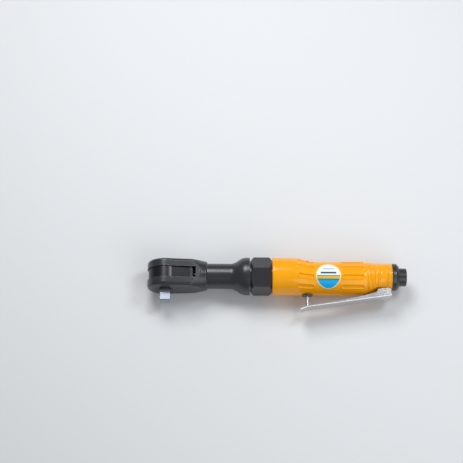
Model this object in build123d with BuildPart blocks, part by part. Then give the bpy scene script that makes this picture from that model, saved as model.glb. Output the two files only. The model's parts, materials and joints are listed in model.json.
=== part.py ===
from build123d import *
import os
from math import acos, asin, cos, pi, radians, sin, sqrt, tan

# Air ratchet with a 3/8 inch square drive: a forked ratchet head, a planetary gear,
# a sliding-vane air motor and a grip with a throttle lever.
#
# Frame, in millimetres: the origin is the centre of the shoulder that the square drive
# stands on. The drive points to -Y, the tool's long axis runs to +X at y = axis_y, and
# +Z is up when the tool lies on its side.

os.makedirs("parts", exist_ok=True)

# ---------------------------------------------------------------- driving dimensions
# Ratchet head
drive_square = 9.525           # 3/8 inch male square
drive_length = 11.0            # square, shoulder to tip
shoulder_height = 1.0          # round shoulder that stands proud of the head
shoulder_radius = 6.25
square_chamfer = 0.9           # broken edges at the square's tip
head_thickness = 27.0          # across both arms, along the drive axis
head_nose_radius = 17.5        # round nose about the drive axis
head_waist_width = 30.0        # plan width where the arms end
waist_x = 24.0                 # the nose's taper ends here
head_edge_round = 3.0          # fillet on the arms' outer edges
fork_gap = 11.0                # slot between the two arms
fork_depth = 29.5              # slot end, from the drive axis
recess_depth = 3.8             # recess in the upper arm for washer and circlip
recess_margin = 0.9            # its radius beyond the anvil's body
barrel_radius = 15.4           # round part behind the arms
barrel_end_radius = 14.3
barrel_round = 3.0             # length of its rounded rear edge
barrel_length = 7.7
cone_start = 19.0              # turned cone between the arms and the barrel
cone_radius = 21.0
barrel_end = 40.7              # shoulder down to the neck
neck_radius = 12.15
neck_end = 62.0
gearcase_radius = 18.25
gearcase_start = 78.5          # where the flare ends
gearcase_end = 81.5
spigot_radius = 14.9           # threads on the head and on the motor housing
spigot_length = 9.5
edge_break = 0.6               # chamfer on the gear case

# Ratchet
ratchet_teeth = 72
tooth_tip_radius = 10.6        # inner ends of the yoke's teeth
tooth_depth = 0.45
yoke_radius = 16.4
yoke_arm = 21.0                # drive axis to the middle of the drive bushing
yoke_swing = 5.0               # degrees each way, one tooth pitch
yoke_prong = 5.2               # thickness of each tail prong
prong_overrun = 3.4            # prongs beyond the drive bushing
prong_taper = 1.4              # taper of their ends
pawl_rock = 7.0                # degrees, from neutral to engaged
pawl_height = 7.8
pawl_pivot = 7.9               # from the drive axis
pawl_pin_radius = 1.25
pawl_tooth_count = 3           # at each end
pawl_first_tooth = 30.0        # degrees round from the pawl's middle
journal_radius = 8.0           # anvil in the lower arm
knob_radius = 7.8
knob_height = 2.3
knob_bar = 0.72                # share of the knob's radius where its finger flats begin
knob_stem_radius = 4.0
plunger_radius = 1.5
plunger_reach = 5.0            # tip of the plunger, from the drive axis
selector_coil = 1.1            # its spring's radius to the wire's centre
selector_wire = 0.2
washer_thickness = 0.8
circlip_thickness = 1.2
circlip_groove = 0.7           # depth of its groove
circlip_band = 1.4             # how far it reaches into the recess
circlip_opening = 3.2          # between its open ends
circlip_eye_radius = 1.25
detent_ball_radius = 1.4
detent_proud = 0.8             # ball above the square's face
detent_from_tip = 5.0
detent_hole_depth = 5.5        # hole behind the ball centre
detent_coil = 0.85             # spring radius to the wire's centre
detent_wire = 0.2              # wire radius

# Crank and planetary gear
crank_pin_radius = 2.0
bushing_radius = 3.5           # barrel-shaped drive bushing
bushing_length = 6.0
crank_disc_radius = 7.0
crank_disc_length = 4.0
crank_shaft_radius = 6.0
crank_bore_radius = 8.0
crank_bush_length = 10.0
carrier_start = 70.5           # planet carrier, from the drive axis
carrier_radius = 12.5
carrier_thickness = 4.8
gear_module = 0.6
sun_teeth = 12
planet_teeth = 12
planet_count = 3
pressure_angle = 25.0
backlash = 0.12
planet_width = 8.0
planet_pin_radius = 1.2
planet_side_gap = 1.2          # carrier to planets

# Air motor
motor_bore_radius = 13.25      # one straight bore for gear ring, plates and cylinder
cylinder_length = 25.5
chamber_radius = 10.4
chamber_offset = 1.3           # eccentricity of the chamber
rotor_radius = 9.0
vane_count = 5
vane_thickness = 1.9
vane_height = 5.0
shaft_radius = 3.0
pinion_shaft_radius = 2.0
bearing_radius = 9.5           # 6 x 19 x 6 ball bearings
bearing_width = 6.0
bearing_ball_radius = 1.6
bearing_balls = 7
plate_web = 1.5
gasket_thickness = 0.3

# Clamp nut
nut_gap = 1.3                  # bare spigot between gear case and nut
nut_length = 19.7
nut_across_flats = 32.5
nut_corner_radius = 18.5
nut_chamfer = 2.4              # length of the rounded-off corners at each face
nut_face_margin = 0.2          # the faces' radius, short of the flats
nut_roll = 18.0                # degrees, one flat from +Z toward the lever

# Motor housing and grip
body_length = 115.6
body_radius = 18.25
body_straight = 20.5           # round front of the housing
grip_radius = 16.4
grip_offset = 2.0              # grip stands this far toward the lever
grip_blend = 15.5              # length of the change from round front to grip
grip_length = 57.0
tail_radius = 13.2
tail_length = 12.6
exhaust_radius = 2.0           # two exhaust passages
exhaust_spread = 10.0          # their distance from the tool axis
air_passage_radius = 4.0

# Throttle
valve_behind_motor = 5.7       # valve axis, from the end of the motor's bore
valve_bore_radius = 4.5
valve_seat_radius = 3.0
valve_head_radius = 4.0
valve_head_height = 2.2
valve_seal_height = 1.0
seat_depth = 4.0               # seat below the tool axis, toward the lever
stem_radius = 1.5
bushing_flange_radius = 5.2
plug_stud_radius = 1.7
plug_stud_height = 2.0
plug_depth = 0.4               # plug's face below the grip's surface
spring_slack = 0.3             # left over with the valve fully open
valve_spring_wire = 0.35
valve_spring_radius = 3.3
valve_spring_turns = 5

# Lever
lever_sheet = 1.2
lever_half_width = 7.6
lever_angle = 8.5              # lever away from the tool axis when released
lever_travel = 4.5             # degrees of squeeze
lever_reach = 82.0             # pivot to the lever's free end
lever_pivot_from_end = 7.8     # pivot, from the housing's rear face
lever_pivot_depth = 16.2       # pivot below the tool axis
lever_plate_depth = 3.8        # plate below the pivot
ear_radius = 3.6               # housing's lug, round the pin
ear_back = 6.3                 # lever's ears, behind and ahead of the pin
ear_front = 7.7
ear_height = 3.2               # ears above the pin
ear_corner = 2.0
lever_pin_radius = 1.5
lug_clearance = 0.4

# Air inlet and exhaust
inlet_thread_radius = 7.5      # shank in the housing
inlet_shank = 14.6
inlet_hub_radius = 8.0
inlet_collar_radius = 8.75
inlet_collar_length = 7.5
inlet_bore_radius = 5.6        # 1/4 inch NPT, minor radius
inlet_bore_depth = 13.0
screen_radius = 5.0            # strainer, in its own recess below the thread
screen_thickness = 1.0
exhaust_ring_length = 6.2
exhaust_chamber_depth = 6.0
exhaust_wall = 1.2
exhaust_slots = 9
exhaust_slot_pitch = 20.0      # degrees
exhaust_slot_width = 1.9
exhaust_slot_height = 1.3
ring_rim = 3.4                 # straight part of the ring
ring_taper = 2.4               # loss of radius behind it
ring_gap = 0.2                 # housing to ring, and ring to collar

# Label
label_radius = 12.0
label_thickness = 0.25
label_from_front = 53.6
label_roll = 5.4               # degrees from +Z toward the lever

# Clearances
running = 0.05                 # radial, shaft in bore
face_gap = 0.1                 # between faces that slide past each other
seat_gap = 0.02                # slip fit of a fixed piece in its bore

# ---------------------------------------------------------------- derived places
axis_y = shoulder_height + head_thickness / 2
arm_low = shoulder_height
arm_high = shoulder_height + head_thickness
slot_low = axis_y - fork_gap / 2
slot_high = axis_y + fork_gap / 2
crank_throw = yoke_arm * sin(radians(yoke_swing))
tooth_pitch = 360 / ratchet_teeth

spigot_end = gearcase_end + spigot_length
nut_start = gearcase_end + nut_gap
nut_end = nut_start + nut_length
body_start = nut_end + 0.5
body_end = body_start + body_length

planet_orbit = gear_module * (sun_teeth + planet_teeth) / 2
ring_teeth = sun_teeth + 2 * planet_teeth
ring_gear_end = spigot_end - 0.5
planet_bore = planet_pin_radius + running
carrier_end = carrier_start + carrier_thickness
ring_gear_start = carrier_end + 0.5
planet_start = carrier_end + planet_side_gap
planet_end = planet_start + planet_width

plate_thickness = bearing_width + plate_web
front_plate = ring_gear_end
cylinder_start = front_plate + plate_thickness
cylinder_end = cylinder_start + cylinder_length
rear_plate_end = cylinder_end + plate_thickness
motor_bore_end = rear_plate_end + gasket_thickness

valve_x = motor_bore_end + valve_behind_motor
seat_y = axis_y - seat_depth
valve_head_low = seat_y + valve_seal_height
valve_head_high = valve_head_low + valve_head_height
grip_y = axis_y - grip_offset
grip_start = body_start + body_straight + grip_blend
grip_end = grip_start + grip_length
tail_start = body_end - tail_length
pivot_x = body_end - lever_pivot_from_end
pivot_y = axis_y - lever_pivot_depth
# The plug leaves room for the valve's lift and for the spring pressed solid
valve_lift = (pivot_x - valve_x) * tan(radians(lever_travel))
plug_low = valve_head_high + valve_lift + 2 * valve_spring_wire * (valve_spring_turns + 1)
plug_low += spring_slack
plug_top = grip_y + grip_radius - plug_depth
lug_half_width = lever_half_width - lever_sheet - lug_clearance
exhaust_chamber = body_end - exhaust_chamber_depth
ring_start = body_end + ring_gap
ring_end = ring_start + exhaust_ring_length
inlet_end = ring_end + ring_gap + inlet_collar_length
screen_start = inlet_end - inlet_bore_depth - screen_thickness - 3 * face_gap

tool_axis = Axis((0, axis_y, 0), (1, 0, 0))
side_view = Plane(origin=(0, axis_y, 0), x_dir=(1, 0, 0), z_dir=(0, 0, 1))
FROM_FACE = (Align.CENTER, Align.CENTER, Align.MIN)


def across(x, y=axis_y):
    """Section plane at x, facing +X, with local x along +Y and local y along +Z."""
    return Plane(origin=(x, y, 0), x_dir=(0, 1, 0), z_dir=(1, 0, 0))


def level(y, x=0.0, z=0.0):
    """Plane square to the drive axis at height y, facing +Y, with local x along +X."""
    return Plane(origin=(x, y, z), x_dir=(1, 0, 0), z_dir=(0, 1, 0))


def rod(x_start, x_end, radius, y=axis_y, mode=Mode.ADD):
    """A cylinder along the tool's length, in the part that is being built."""
    with Locations(across(x_start, y)):
        Cylinder(radius, x_end - x_start, align=FROM_FACE, mode=mode)


def post(y_low, y_high, radius, x=0.0, z=0.0, mode=Mode.ADD):
    """A cylinder along the drive axis' direction, in the part that is being built."""
    with Locations(level(y_low, x, z)):
        Cylinder(radius, y_high - y_low, align=FROM_FACE, mode=mode)


def save(builder, name):
    """Label a finished piece and write it to its own file."""
    builder.part.label = name
    export_step(builder.part, f"parts/{name}.step")


def involute(angle):
    return tan(angle) - angle


def tooth_outline(teeth, low_radius, high_radius, thickness, first_angle=0.0):
    """Outline of a ring of involute teeth that point outward; angles in degrees."""
    pitch_radius = gear_module * teeth / 2
    base_radius = pitch_radius * cos(radians(pressure_angle))
    at_pitch = thickness / (2 * pitch_radius) + involute(radians(pressure_angle))
    steps = 4
    flank_start = max(low_radius, base_radius)
    flank = []
    for step in range(steps + 1):
        radius = flank_start + (high_radius - flank_start) * step / steps
        flank.append((radius, at_pitch - involute(acos(base_radius / radius))))
    if low_radius < base_radius:
        flank.insert(0, (low_radius, flank[0][1]))
    points = []
    for tooth in range(teeth):
        centre = radians(first_angle + 360 * tooth / teeth)
        for radius, half in flank:
            points.append((radius * cos(centre - half), radius * sin(centre - half)))
        for radius, half in reversed(flank):
            points.append((radius * cos(centre + half), radius * sin(centre + half)))
    return points


def spring(radius, wire, turns, plane, height):
    """A round-wire compression spring that stands on the plane."""
    with BuildPart() as coil:
        with BuildLine() as path:
            Helix(pitch=(height - 2 * wire) / turns, height=height - 2 * wire, radius=radius,
                  center=plane.origin + plane.z_dir * wire, direction=plane.z_dir)
        with BuildSketch(path.line ^ 0):
            Circle(wire)
        sweep(is_frenet=True)
    return coil


# ---------------------------------------------------------------- ratchet housing
waist_half = head_waist_width / 2
taper = asin((head_nose_radius - waist_half) / waist_x)
tangent_x = head_nose_radius * sin(taper)
tangent_z = head_nose_radius * cos(taper)
barrel_start = barrel_end - barrel_length
cone_slope = (cone_radius - barrel_radius) / (barrel_start + 1 - cone_start)

with BuildPart() as ratchet_housing:
    # Flat-sided arms with a round nose
    with BuildSketch(level(arm_low)):
        with BuildLine():
            Line((waist_x, waist_half), (tangent_x, tangent_z))
            ThreePointArc((tangent_x, tangent_z), (-head_nose_radius, 0), (tangent_x, -tangent_z))
            Line((tangent_x, -tangent_z), (waist_x, -waist_half))
            Polyline((waist_x, -waist_half), (barrel_start + 2, -waist_half),
                     (barrel_start + 2, waist_half), (waist_x, waist_half))
        make_face()
    extrude(amount=head_thickness)
    rims = [edge for edge in ratchet_housing.edges()
            if abs(edge.center().Y - axis_y) > head_thickness / 2 - 0.01
            and edge.center().X < barrel_start + 1]
    fillet(rims, head_edge_round)
    # Turned cone that takes the flat-sided section down to the barrel
    with BuildSketch(side_view):
        with BuildLine():
            Polyline(
                (-2 * head_nose_radius, 0),
                (-2 * head_nose_radius, 2 * cone_radius),
                (cone_start, 2 * cone_radius),
                (cone_start, cone_radius),
                (barrel_start + 3, cone_radius - cone_slope * (barrel_start + 3 - cone_start)),
                (barrel_start + 3, 0),
                close=True,
            )
        make_face()
    revolve(axis=tool_axis, mode=Mode.INTERSECT)
    # Barrel, neck, flare, gear case and threaded spigot
    with BuildSketch(side_view):
        with BuildLine():
            Polyline(
                (gearcase_start, gearcase_radius),
                (gearcase_end - edge_break, gearcase_radius),
                (gearcase_end, gearcase_radius - edge_break),
                (gearcase_end, spigot_radius),
                (spigot_end, spigot_radius),
                (spigot_end, 0),
                (barrel_start, 0),
                (barrel_start, barrel_radius),
                (barrel_end - barrel_round, barrel_end_radius),
            )
            Spline((barrel_end - barrel_round, barrel_end_radius), (barrel_end, neck_radius),
                   tangents=((1, -0.1), (0.2, -1)))
            Line((barrel_end, neck_radius), (neck_end, neck_radius))
            Spline((neck_end, neck_radius), (gearcase_start, gearcase_radius),
                   tangents=((1, 0), (1, 0)))
        make_face()
    revolve(axis=tool_axis)
    # Fork slot for the yoke, open at the nose and at both sides
    with Locations((fork_depth / 2 - head_nose_radius, axis_y, 0)):
        Box(fork_depth + 2 * head_nose_radius, fork_gap, 3 * head_nose_radius,
            mode=Mode.SUBTRACT)
    # Anvil bores and the recess for washer and circlip
    post(arm_low - 1, slot_low + 1, journal_radius + running, mode=Mode.SUBTRACT)
    anvil_top = arm_high - recess_depth
    recess_radius = tooth_tip_radius + recess_margin
    post(slot_high - 1, anvil_top, tooth_tip_radius, mode=Mode.SUBTRACT)
    post(anvil_top, arm_high + 1, recess_radius, mode=Mode.SUBTRACT)
    circlip_low = anvil_top + face_gap + washer_thickness
    post(circlip_low, circlip_low + circlip_thickness, recess_radius + circlip_groove,
         mode=Mode.SUBTRACT)
    # Crank, carrier and ring gear bores
    rod(fork_depth - 1, carrier_start - 0.5, crank_bore_radius, mode=Mode.SUBTRACT)
    rod(carrier_start - 0.6, spigot_end + 1, carrier_radius + 0.4, mode=Mode.SUBTRACT)
    rod(ring_gear_start, spigot_end + 1, motor_bore_radius, mode=Mode.SUBTRACT)
save(ratchet_housing, "ratchet_housing")

# ---------------------------------------------------------------- anvil and its parts
body_radius_anvil = tooth_tip_radius - running
pawl_low = axis_y - pawl_height / 2
pawl_high = axis_y + pawl_height / 2
ball_y = -drive_length + detent_from_tip
ball_x = -drive_square / 2 - detent_proud + detent_ball_radius
anvil_low = slot_low + face_gap
pin_low = anvil_low + 0.3
pin_high = pawl_high + 2.6
stem_low = pawl_low + 0.4
slot_floor = 3.6               # pawl slot, from the drive axis
slot_half_width = 8.3
window_start = 2.0
detent_hole = detent_ball_radius + running

with BuildPart() as drive_anvil:
    # Square with a broken tip, round shoulder, lower journal and the body inside the yoke
    with BuildSketch(level(-drive_length)):
        Rectangle(drive_square, drive_square)
    extrude(amount=drive_length + shoulder_height / 2)
    chamfer(drive_anvil.faces().sort_by(Axis.Y)[0].edges(), square_chamfer)
    post(0, shoulder_height + 0.3, shoulder_radius)
    post(shoulder_height + 0.3, anvil_low, journal_radius)
    post(anvil_low, anvil_top, body_radius_anvil)
    # Bore for the knob's stem, pawl slot and pawl pin hole
    post(stem_low - 0.3, anvil_top + 1, knob_stem_radius + running, mode=Mode.SUBTRACT)
    with Locations(((slot_floor + tooth_tip_radius + 1) / 2, axis_y, 0)):
        Box(tooth_tip_radius + 1 - slot_floor, pawl_height + 2 * face_gap, 2 * slot_half_width,
            mode=Mode.SUBTRACT)
    post(pin_low, pin_high, pawl_pin_radius, x=pawl_pivot, mode=Mode.SUBTRACT)
    # Window for the plunger's swing between the stem's bore and the pawl slot
    with Locations(((window_start + slot_floor + 1) / 2, axis_y, 0)):
        Box(slot_floor + 1 - window_start, 2 * plunger_radius + 0.4, 2 * plunger_reach,
            mode=Mode.SUBTRACT)
    # Blind hole for the detent ball in the square's nose-side face
    rod(-drive_square, ball_x + detent_hole_depth, detent_hole, y=ball_y, mode=Mode.SUBTRACT)
save(drive_anvil, "drive_anvil")

with BuildPart() as detent_ball:
    with Locations((ball_x, ball_y, 0)):
        Sphere(detent_ball_radius)
save(detent_ball, "detent_ball")

detent_coil_start = ball_x + sqrt(detent_ball_radius**2 - (detent_coil - detent_wire) ** 2)
detent_plane = Plane(origin=(detent_coil_start, ball_y, 0), x_dir=(0, 1, 0), z_dir=(1, 0, 0))
detent_spring = spring(detent_coil, detent_wire, 5, detent_plane,
                       ball_x + detent_hole_depth - detent_coil_start)
save(detent_spring, "detent_spring")

# The pawl rocks about its pin. Engaged, its outline is a circle just inside the yoke's
# teeth; seen from the pawl, that circle's centre swings round the pin.
rock = radians(pawl_rock)
engaged_radius = tooth_tip_radius - 0.15
engaged_x = pawl_pivot * (1 - cos(rock))
engaged_z = pawl_pivot * sin(rock)
tooth_top = tooth_tip_radius + tooth_depth - 0.1
tooth_half = radians(tooth_pitch / 2) * 0.72
pawl_swing_room = slot_half_width * sin(rock) + 0.4

with BuildPart() as pawl:
    with BuildSketch(Plane.XZ.offset(-pawl_high)):
        with Locations((engaged_x, -engaged_z)):
            Circle(engaged_radius)
        with Locations((engaged_x, engaged_z)):
            Circle(engaged_radius, mode=Mode.INTERSECT)
        for side in (1, -1):
            for tooth in range(pawl_tooth_count):
                angle = radians(pawl_first_tooth + tooth_pitch * tooth)
                corners = []
                for radius, turn in ((engaged_radius - 0.4, -tooth_half),
                                     (engaged_radius, -tooth_half),
                                     (tooth_top, -tooth_half * 0.18),
                                     (tooth_top, tooth_half * 0.18),
                                     (engaged_radius, tooth_half),
                                     (engaged_radius - 0.4, tooth_half)):
                    corners.append((radius * cos(angle + turn) - pawl_pivot,
                                    side * radius * sin(angle + turn)))
                with Locations(Location((pawl_pivot, 0, 0), (0, 0, side * pawl_rock))):
                    Polygon(*corners, align=None)
        Circle(plunger_reach + 0.25, mode=Mode.SUBTRACT)
        with Locations((tooth_tip_radius, 0)):
            Rectangle(2 * (tooth_tip_radius - slot_floor - pawl_swing_room),
                      2 * (slot_half_width - 0.5), mode=Mode.INTERSECT)
        with Locations((pawl_pivot, 0)):
            Circle(pawl_pin_radius + running, mode=Mode.SUBTRACT)
    extrude(amount=pawl_height)
save(pawl, "pawl")

with BuildPart() as pawl_pin:
    post(pin_low, pin_high, pawl_pin_radius, x=pawl_pivot)
save(pawl_pin, "pawl_pin")

# Reverse knob with its stem, which holds the spring plunger that rocks the pawl
knob_low = arm_high + 0.3
plunger_hole_start = 1.4 - knob_stem_radius
plunger_back = 1.2

with BuildPart() as reverse_knob:
    post(knob_low, knob_low + knob_height, knob_radius)
    chamfer(reverse_knob.edges().sort_by(Axis.Y)[-1], 0.5)
    # Two finger flats leave a bar across the knob
    for side in (1, -1):
        with Locations((0, knob_low + knob_height, side * knob_radius * knob_bar)):
            Box(2 * knob_radius, knob_height, knob_radius * knob_bar, mode=Mode.SUBTRACT)
    post(stem_low, knob_low, knob_stem_radius)
    rod(plunger_hole_start, knob_stem_radius + 1, plunger_radius, mode=Mode.SUBTRACT)
save(reverse_knob, "reverse_knob")

with BuildPart() as selector_plunger:
    rod(plunger_back, plunger_reach - plunger_radius, plunger_radius)
    with Locations((plunger_reach - plunger_radius, axis_y, 0)):
        Sphere(plunger_radius)
save(selector_plunger, "selector_plunger")

selector_plane = Plane(origin=(plunger_hole_start, axis_y, 0), x_dir=(0, 1, 0), z_dir=(1, 0, 0))
selector_spring = spring(selector_coil, selector_wire, 4, selector_plane, plunger_back - plunger_hole_start)
save(selector_spring, "selector_spring")

with BuildPart() as thrust_washer:
    washer_low = anvil_top + face_gap
    post(washer_low, washer_low + washer_thickness, recess_radius - seat_gap)
    post(washer_low - 1, arm_high, knob_stem_radius + 0.4, mode=Mode.SUBTRACT)
save(thrust_washer, "thrust_washer")

with BuildPart() as retaining_ring:
    post(circlip_low, circlip_low + circlip_thickness, recess_radius + circlip_groove - seat_gap)
    post(circlip_low - 1, arm_high, recess_radius - circlip_band, mode=Mode.SUBTRACT)
    # Open ends with eyes for circlip pliers
    with Locations((-recess_radius, circlip_low + circlip_thickness / 2, 0)):
        Box(recess_radius, 2 * circlip_thickness, circlip_opening, mode=Mode.SUBTRACT)
    for side in (1, -1):
        eye_x = -recess_radius + 2.1
        eye_z = side * 2.9
        post(circlip_low, circlip_low + circlip_thickness, circlip_eye_radius,
             x=eye_x, z=eye_z)
        post(circlip_low - 1, arm_high, 0.5, x=eye_x, z=eye_z, mode=Mode.SUBTRACT)
save(retaining_ring, "retaining_ring")

# ---------------------------------------------------------------- yoke and drive bushing
yoke_low = slot_low + face_gap
yoke_height = fork_gap - 2 * face_gap
prong_end = yoke_arm + bushing_length / 2 + prong_overrun
# The tail's opening holds the bushing at any crank angle with the yoke at either limit
tail_opening = bushing_radius + 2 * crank_throw + 0.25

with BuildPart() as ratchet_yoke:
    with BuildSketch(level(yoke_low)):
        Circle(yoke_radius)
        for side in (1, -1):
            with BuildLine():
                Polyline(
                    (yoke_radius * 0.3, side * yoke_radius * 0.93),
                    (prong_end - 3, side * (tail_opening + yoke_prong)),
                    (prong_end, side * (tail_opening + yoke_prong - prong_taper)),
                    (prong_end, side * tail_opening),
                    (yoke_radius * 0.3, side * tail_opening),
                    close=True,
                )
            make_face()
        # Clear of the crank pin and bushing between the prongs
        with Locations((yoke_radius + prong_end / 2 - 0.4, 0)):
            Rectangle(prong_end, 2 * tail_opening, mode=Mode.SUBTRACT)
        with BuildLine():
            ring = []
            for tooth in range(ratchet_teeth):
                tip = radians(tooth_pitch * (tooth + 0.5))
                root = radians(tooth_pitch * (tooth + 1))
                deep = tooth_tip_radius + tooth_depth
                ring.append((tooth_tip_radius * cos(tip), tooth_tip_radius * sin(tip)))
                ring.append((deep * cos(root), deep * sin(root)))
            Polyline(*ring, close=True)
        make_face(mode=Mode.SUBTRACT)
    extrude(amount=yoke_height)
    bars = [edge for edge in ratchet_yoke.edges().filter_by(Axis.Y)
            if edge.center().X > prong_end - 4]
    fillet(bars, 0.8)
save(ratchet_yoke, "ratchet_yoke")

pin_y = axis_y + crank_throw
pin_start = yoke_arm - bushing_length / 2 - 0.6

bushing_end_radius = bushing_radius - 0.7

with BuildPart() as drive_bushing:
    with BuildSketch(Plane(origin=(yoke_arm, pin_y, 0), z_dir=(0, 0, 1))):
        half = bushing_length / 2
        bore = crank_pin_radius + running
        with BuildLine():
            Polyline((-half, bushing_end_radius), (-half, bore), (half, bore),
                     (half, bushing_end_radius))
            ThreePointArc((-half, bushing_end_radius), (0, bushing_radius),
                          (half, bushing_end_radius))
        make_face()
    revolve(axis=Axis((0, pin_y, 0), (1, 0, 0)))
save(drive_bushing, "drive_bushing")

# ---------------------------------------------------------------- crank and planetary gear
crank_disc_start = fork_depth + 0.8
crank_disc_end = crank_disc_start + crank_disc_length
front_bush = crank_disc_end + 0.5
rear_bush_end = carrier_start - 0.6
planet_angles = [360 * planet / planet_count for planet in range(planet_count)]

with BuildPart() as crank_shaft:
    rod(pin_start, crank_disc_start + 1, crank_pin_radius, y=pin_y)
    chamfer(crank_shaft.edges().group_by(Axis.X)[0], 0.4)
    rod(crank_disc_start, crank_disc_end, crank_disc_radius)
    rod(crank_disc_start, carrier_end, crank_shaft_radius)
    rod(carrier_start, carrier_end, carrier_radius)
    with BuildSketch(across(carrier_start)):
        with PolarLocations(planet_orbit, planet_count):
            Circle(planet_pin_radius)
    extrude(amount=carrier_thickness, mode=Mode.SUBTRACT)
save(crank_shaft, "crank_shaft")

for name, start in (("crank_bush_front", front_bush),
                    ("crank_bush_rear", rear_bush_end - crank_bush_length)):
    with BuildPart() as crank_bush:
        rod(start, start + crank_bush_length, crank_bore_radius - seat_gap)
        rod(start - 1, start + crank_bush_length + 1, crank_shaft_radius + running,
            mode=Mode.SUBTRACT)
    save(crank_bush, name)

with BuildPart() as planet_pins:
    with BuildSketch(across(carrier_start)):
        with PolarLocations(planet_orbit, planet_count):
            Circle(planet_pin_radius)
    extrude(amount=planet_end + 0.4 - carrier_start)
save(planet_pins, "planet_pins")

tooth_width = pi * gear_module / 2
clearance = 1.25 * gear_module

for number, angle in enumerate(planet_angles, start=1):
    centre = (planet_orbit * cos(radians(angle)), planet_orbit * sin(radians(angle)))
    pitch_radius = gear_module * planet_teeth / 2
    outline = tooth_outline(planet_teeth, pitch_radius - clearance, pitch_radius + gear_module,
                            tooth_width - backlash, angle + 180 / planet_teeth)
    with BuildPart() as planet_gear:
        with BuildSketch(across(planet_start)):
            with BuildLine(Location((centre[0], centre[1], 0))):
                Polyline(*outline, close=True)
            make_face()
            with Locations(centre):
                Circle(planet_bore, mode=Mode.SUBTRACT)
        extrude(amount=planet_width)
    save(planet_gear, f"planet_gear_{number}")

with BuildPart() as ring_gear:
    pitch_radius = gear_module * ring_teeth / 2
    outline = tooth_outline(ring_teeth, pitch_radius - gear_module, pitch_radius + clearance,
                            tooth_width + backlash, 180 / ring_teeth)
    with BuildSketch(across(ring_gear_start)):
        Circle(motor_bore_radius - seat_gap)
        with BuildLine():
            Polyline(*outline, close=True)
        make_face(mode=Mode.SUBTRACT)
    extrude(amount=ring_gear_end - ring_gear_start)
save(ring_gear, "ring_gear")

pinion_end = planet_end + 1.5
with BuildPart() as sun_pinion:
    pitch_radius = gear_module * sun_teeth / 2
    outline = tooth_outline(sun_teeth, pitch_radius - clearance, pitch_radius + gear_module,
                            tooth_width - backlash)
    with BuildSketch(across(planet_start)):
        with BuildLine():
            Polyline(*outline, close=True)
        make_face()
        Circle(pinion_shaft_radius, mode=Mode.SUBTRACT)
    extrude(amount=pinion_end - planet_start)
save(sun_pinion, "sun_pinion")

# ---------------------------------------------------------------- clamp nut
with BuildPart() as clamp_nut:
    with BuildSketch(across(nut_start)):
        RegularPolygon(nut_across_flats / 2, 6, major_radius=False, rotation=nut_roll)
    extrude(amount=nut_length)
    with BuildSketch(side_view):
        with BuildLine():
            Polyline(
                (nut_start, 0),
                (nut_start, nut_across_flats / 2 - nut_face_margin),
                (nut_start + nut_chamfer, nut_corner_radius),
                (nut_end - nut_chamfer, nut_corner_radius),
                (nut_end, nut_across_flats / 2 - nut_face_margin),
                (nut_end, 0),
                close=True,
            )
        make_face()
    revolve(axis=tool_axis, mode=Mode.INTERSECT)
    rod(nut_start - 1, nut_end + 1, spigot_radius + seat_gap, mode=Mode.SUBTRACT)
save(clamp_nut, "clamp_nut")

# ---------------------------------------------------------------- air motor
race_wall = (bearing_radius - shaft_radius) / 2 - bearing_ball_radius * 0.72
race_middle = (bearing_radius + shaft_radius) / 2
ball_room = bearing_ball_radius + running / 2
bearing_starts = {
    "front": front_plate,
    "rear": rear_plate_end - bearing_width,
}

for end, start in bearing_starts.items():
    with BuildPart() as plate:
        web_first = end == "rear"
        rod(start - plate_web if web_first else start,
            start + bearing_width + (0 if web_first else plate_web),
            motor_bore_radius - seat_gap)
        rod(start, start + bearing_width, bearing_radius, mode=Mode.SUBTRACT)
        rod(front_plate - 1, rear_plate_end + 1, shaft_radius + 1.2, mode=Mode.SUBTRACT)
    save(plate, f"{end}_end_plate")

    middle = start + bearing_width / 2
    with BuildPart() as outer_race:
        rod(start, start + bearing_width, bearing_radius - seat_gap)
        rod(start - 1, start + bearing_width + 1, bearing_radius - race_wall, mode=Mode.SUBTRACT)
        with BuildSketch(side_view):
            with Locations((middle, race_middle)):
                Circle(ball_room)
        revolve(axis=tool_axis, mode=Mode.SUBTRACT)
    save(outer_race, f"{end}_bearing_outer_race")

    with BuildPart() as inner_race:
        rod(start, start + bearing_width, shaft_radius + race_wall)
        rod(start - 1, start + bearing_width + 1, shaft_radius, mode=Mode.SUBTRACT)
        with BuildSketch(side_view):
            with Locations((middle, race_middle)):
                Circle(ball_room)
        revolve(axis=tool_axis, mode=Mode.SUBTRACT)
    save(inner_race, f"{end}_bearing_inner_race")

    with BuildPart() as balls:
        with Locations(across(middle)):
            with PolarLocations(race_middle, bearing_balls):
                Sphere(bearing_ball_radius)
    save(balls, f"{end}_bearing_balls")

with BuildPart() as motor_cylinder:
    rod(cylinder_start, cylinder_end, motor_bore_radius - seat_gap)
    with Locations(Plane(origin=(cylinder_start - 1, axis_y, chamber_offset),
                         x_dir=(0, 1, 0), z_dir=(1, 0, 0))):
        Cylinder(chamber_radius, cylinder_length + 2, align=FROM_FACE, mode=Mode.SUBTRACT)
    # Exhaust slots through the thick side of the wall
    with Locations([(cylinder_start + cylinder_length * share, axis_y, -motor_bore_radius)
                    for share in (0.25, 0.42, 0.58, 0.75)]):
        Box(1.6, 9, 8, mode=Mode.SUBTRACT)
save(motor_cylinder, "motor_cylinder")

rotor_start = cylinder_start + face_gap
rotor_end = cylinder_end - face_gap
slot_bottom = rotor_radius - vane_height - 0.3

with BuildPart() as rotor:
    rod(rotor_start, rotor_end, rotor_radius)
    with BuildSketch(across(rotor_start)):
        with PolarLocations(0, vane_count):
            with Locations((slot_bottom + rotor_radius / 2, 0)):
                Rectangle(rotor_radius, vane_thickness + 2 * running)
    extrude(amount=rotor_end - rotor_start, mode=Mode.SUBTRACT)
    rod(planet_start, front_plate + 2, pinion_shaft_radius)
    rod(pinion_end + 0.2, rear_plate_end - 0.3, shaft_radius)
save(rotor, "rotor")

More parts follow.
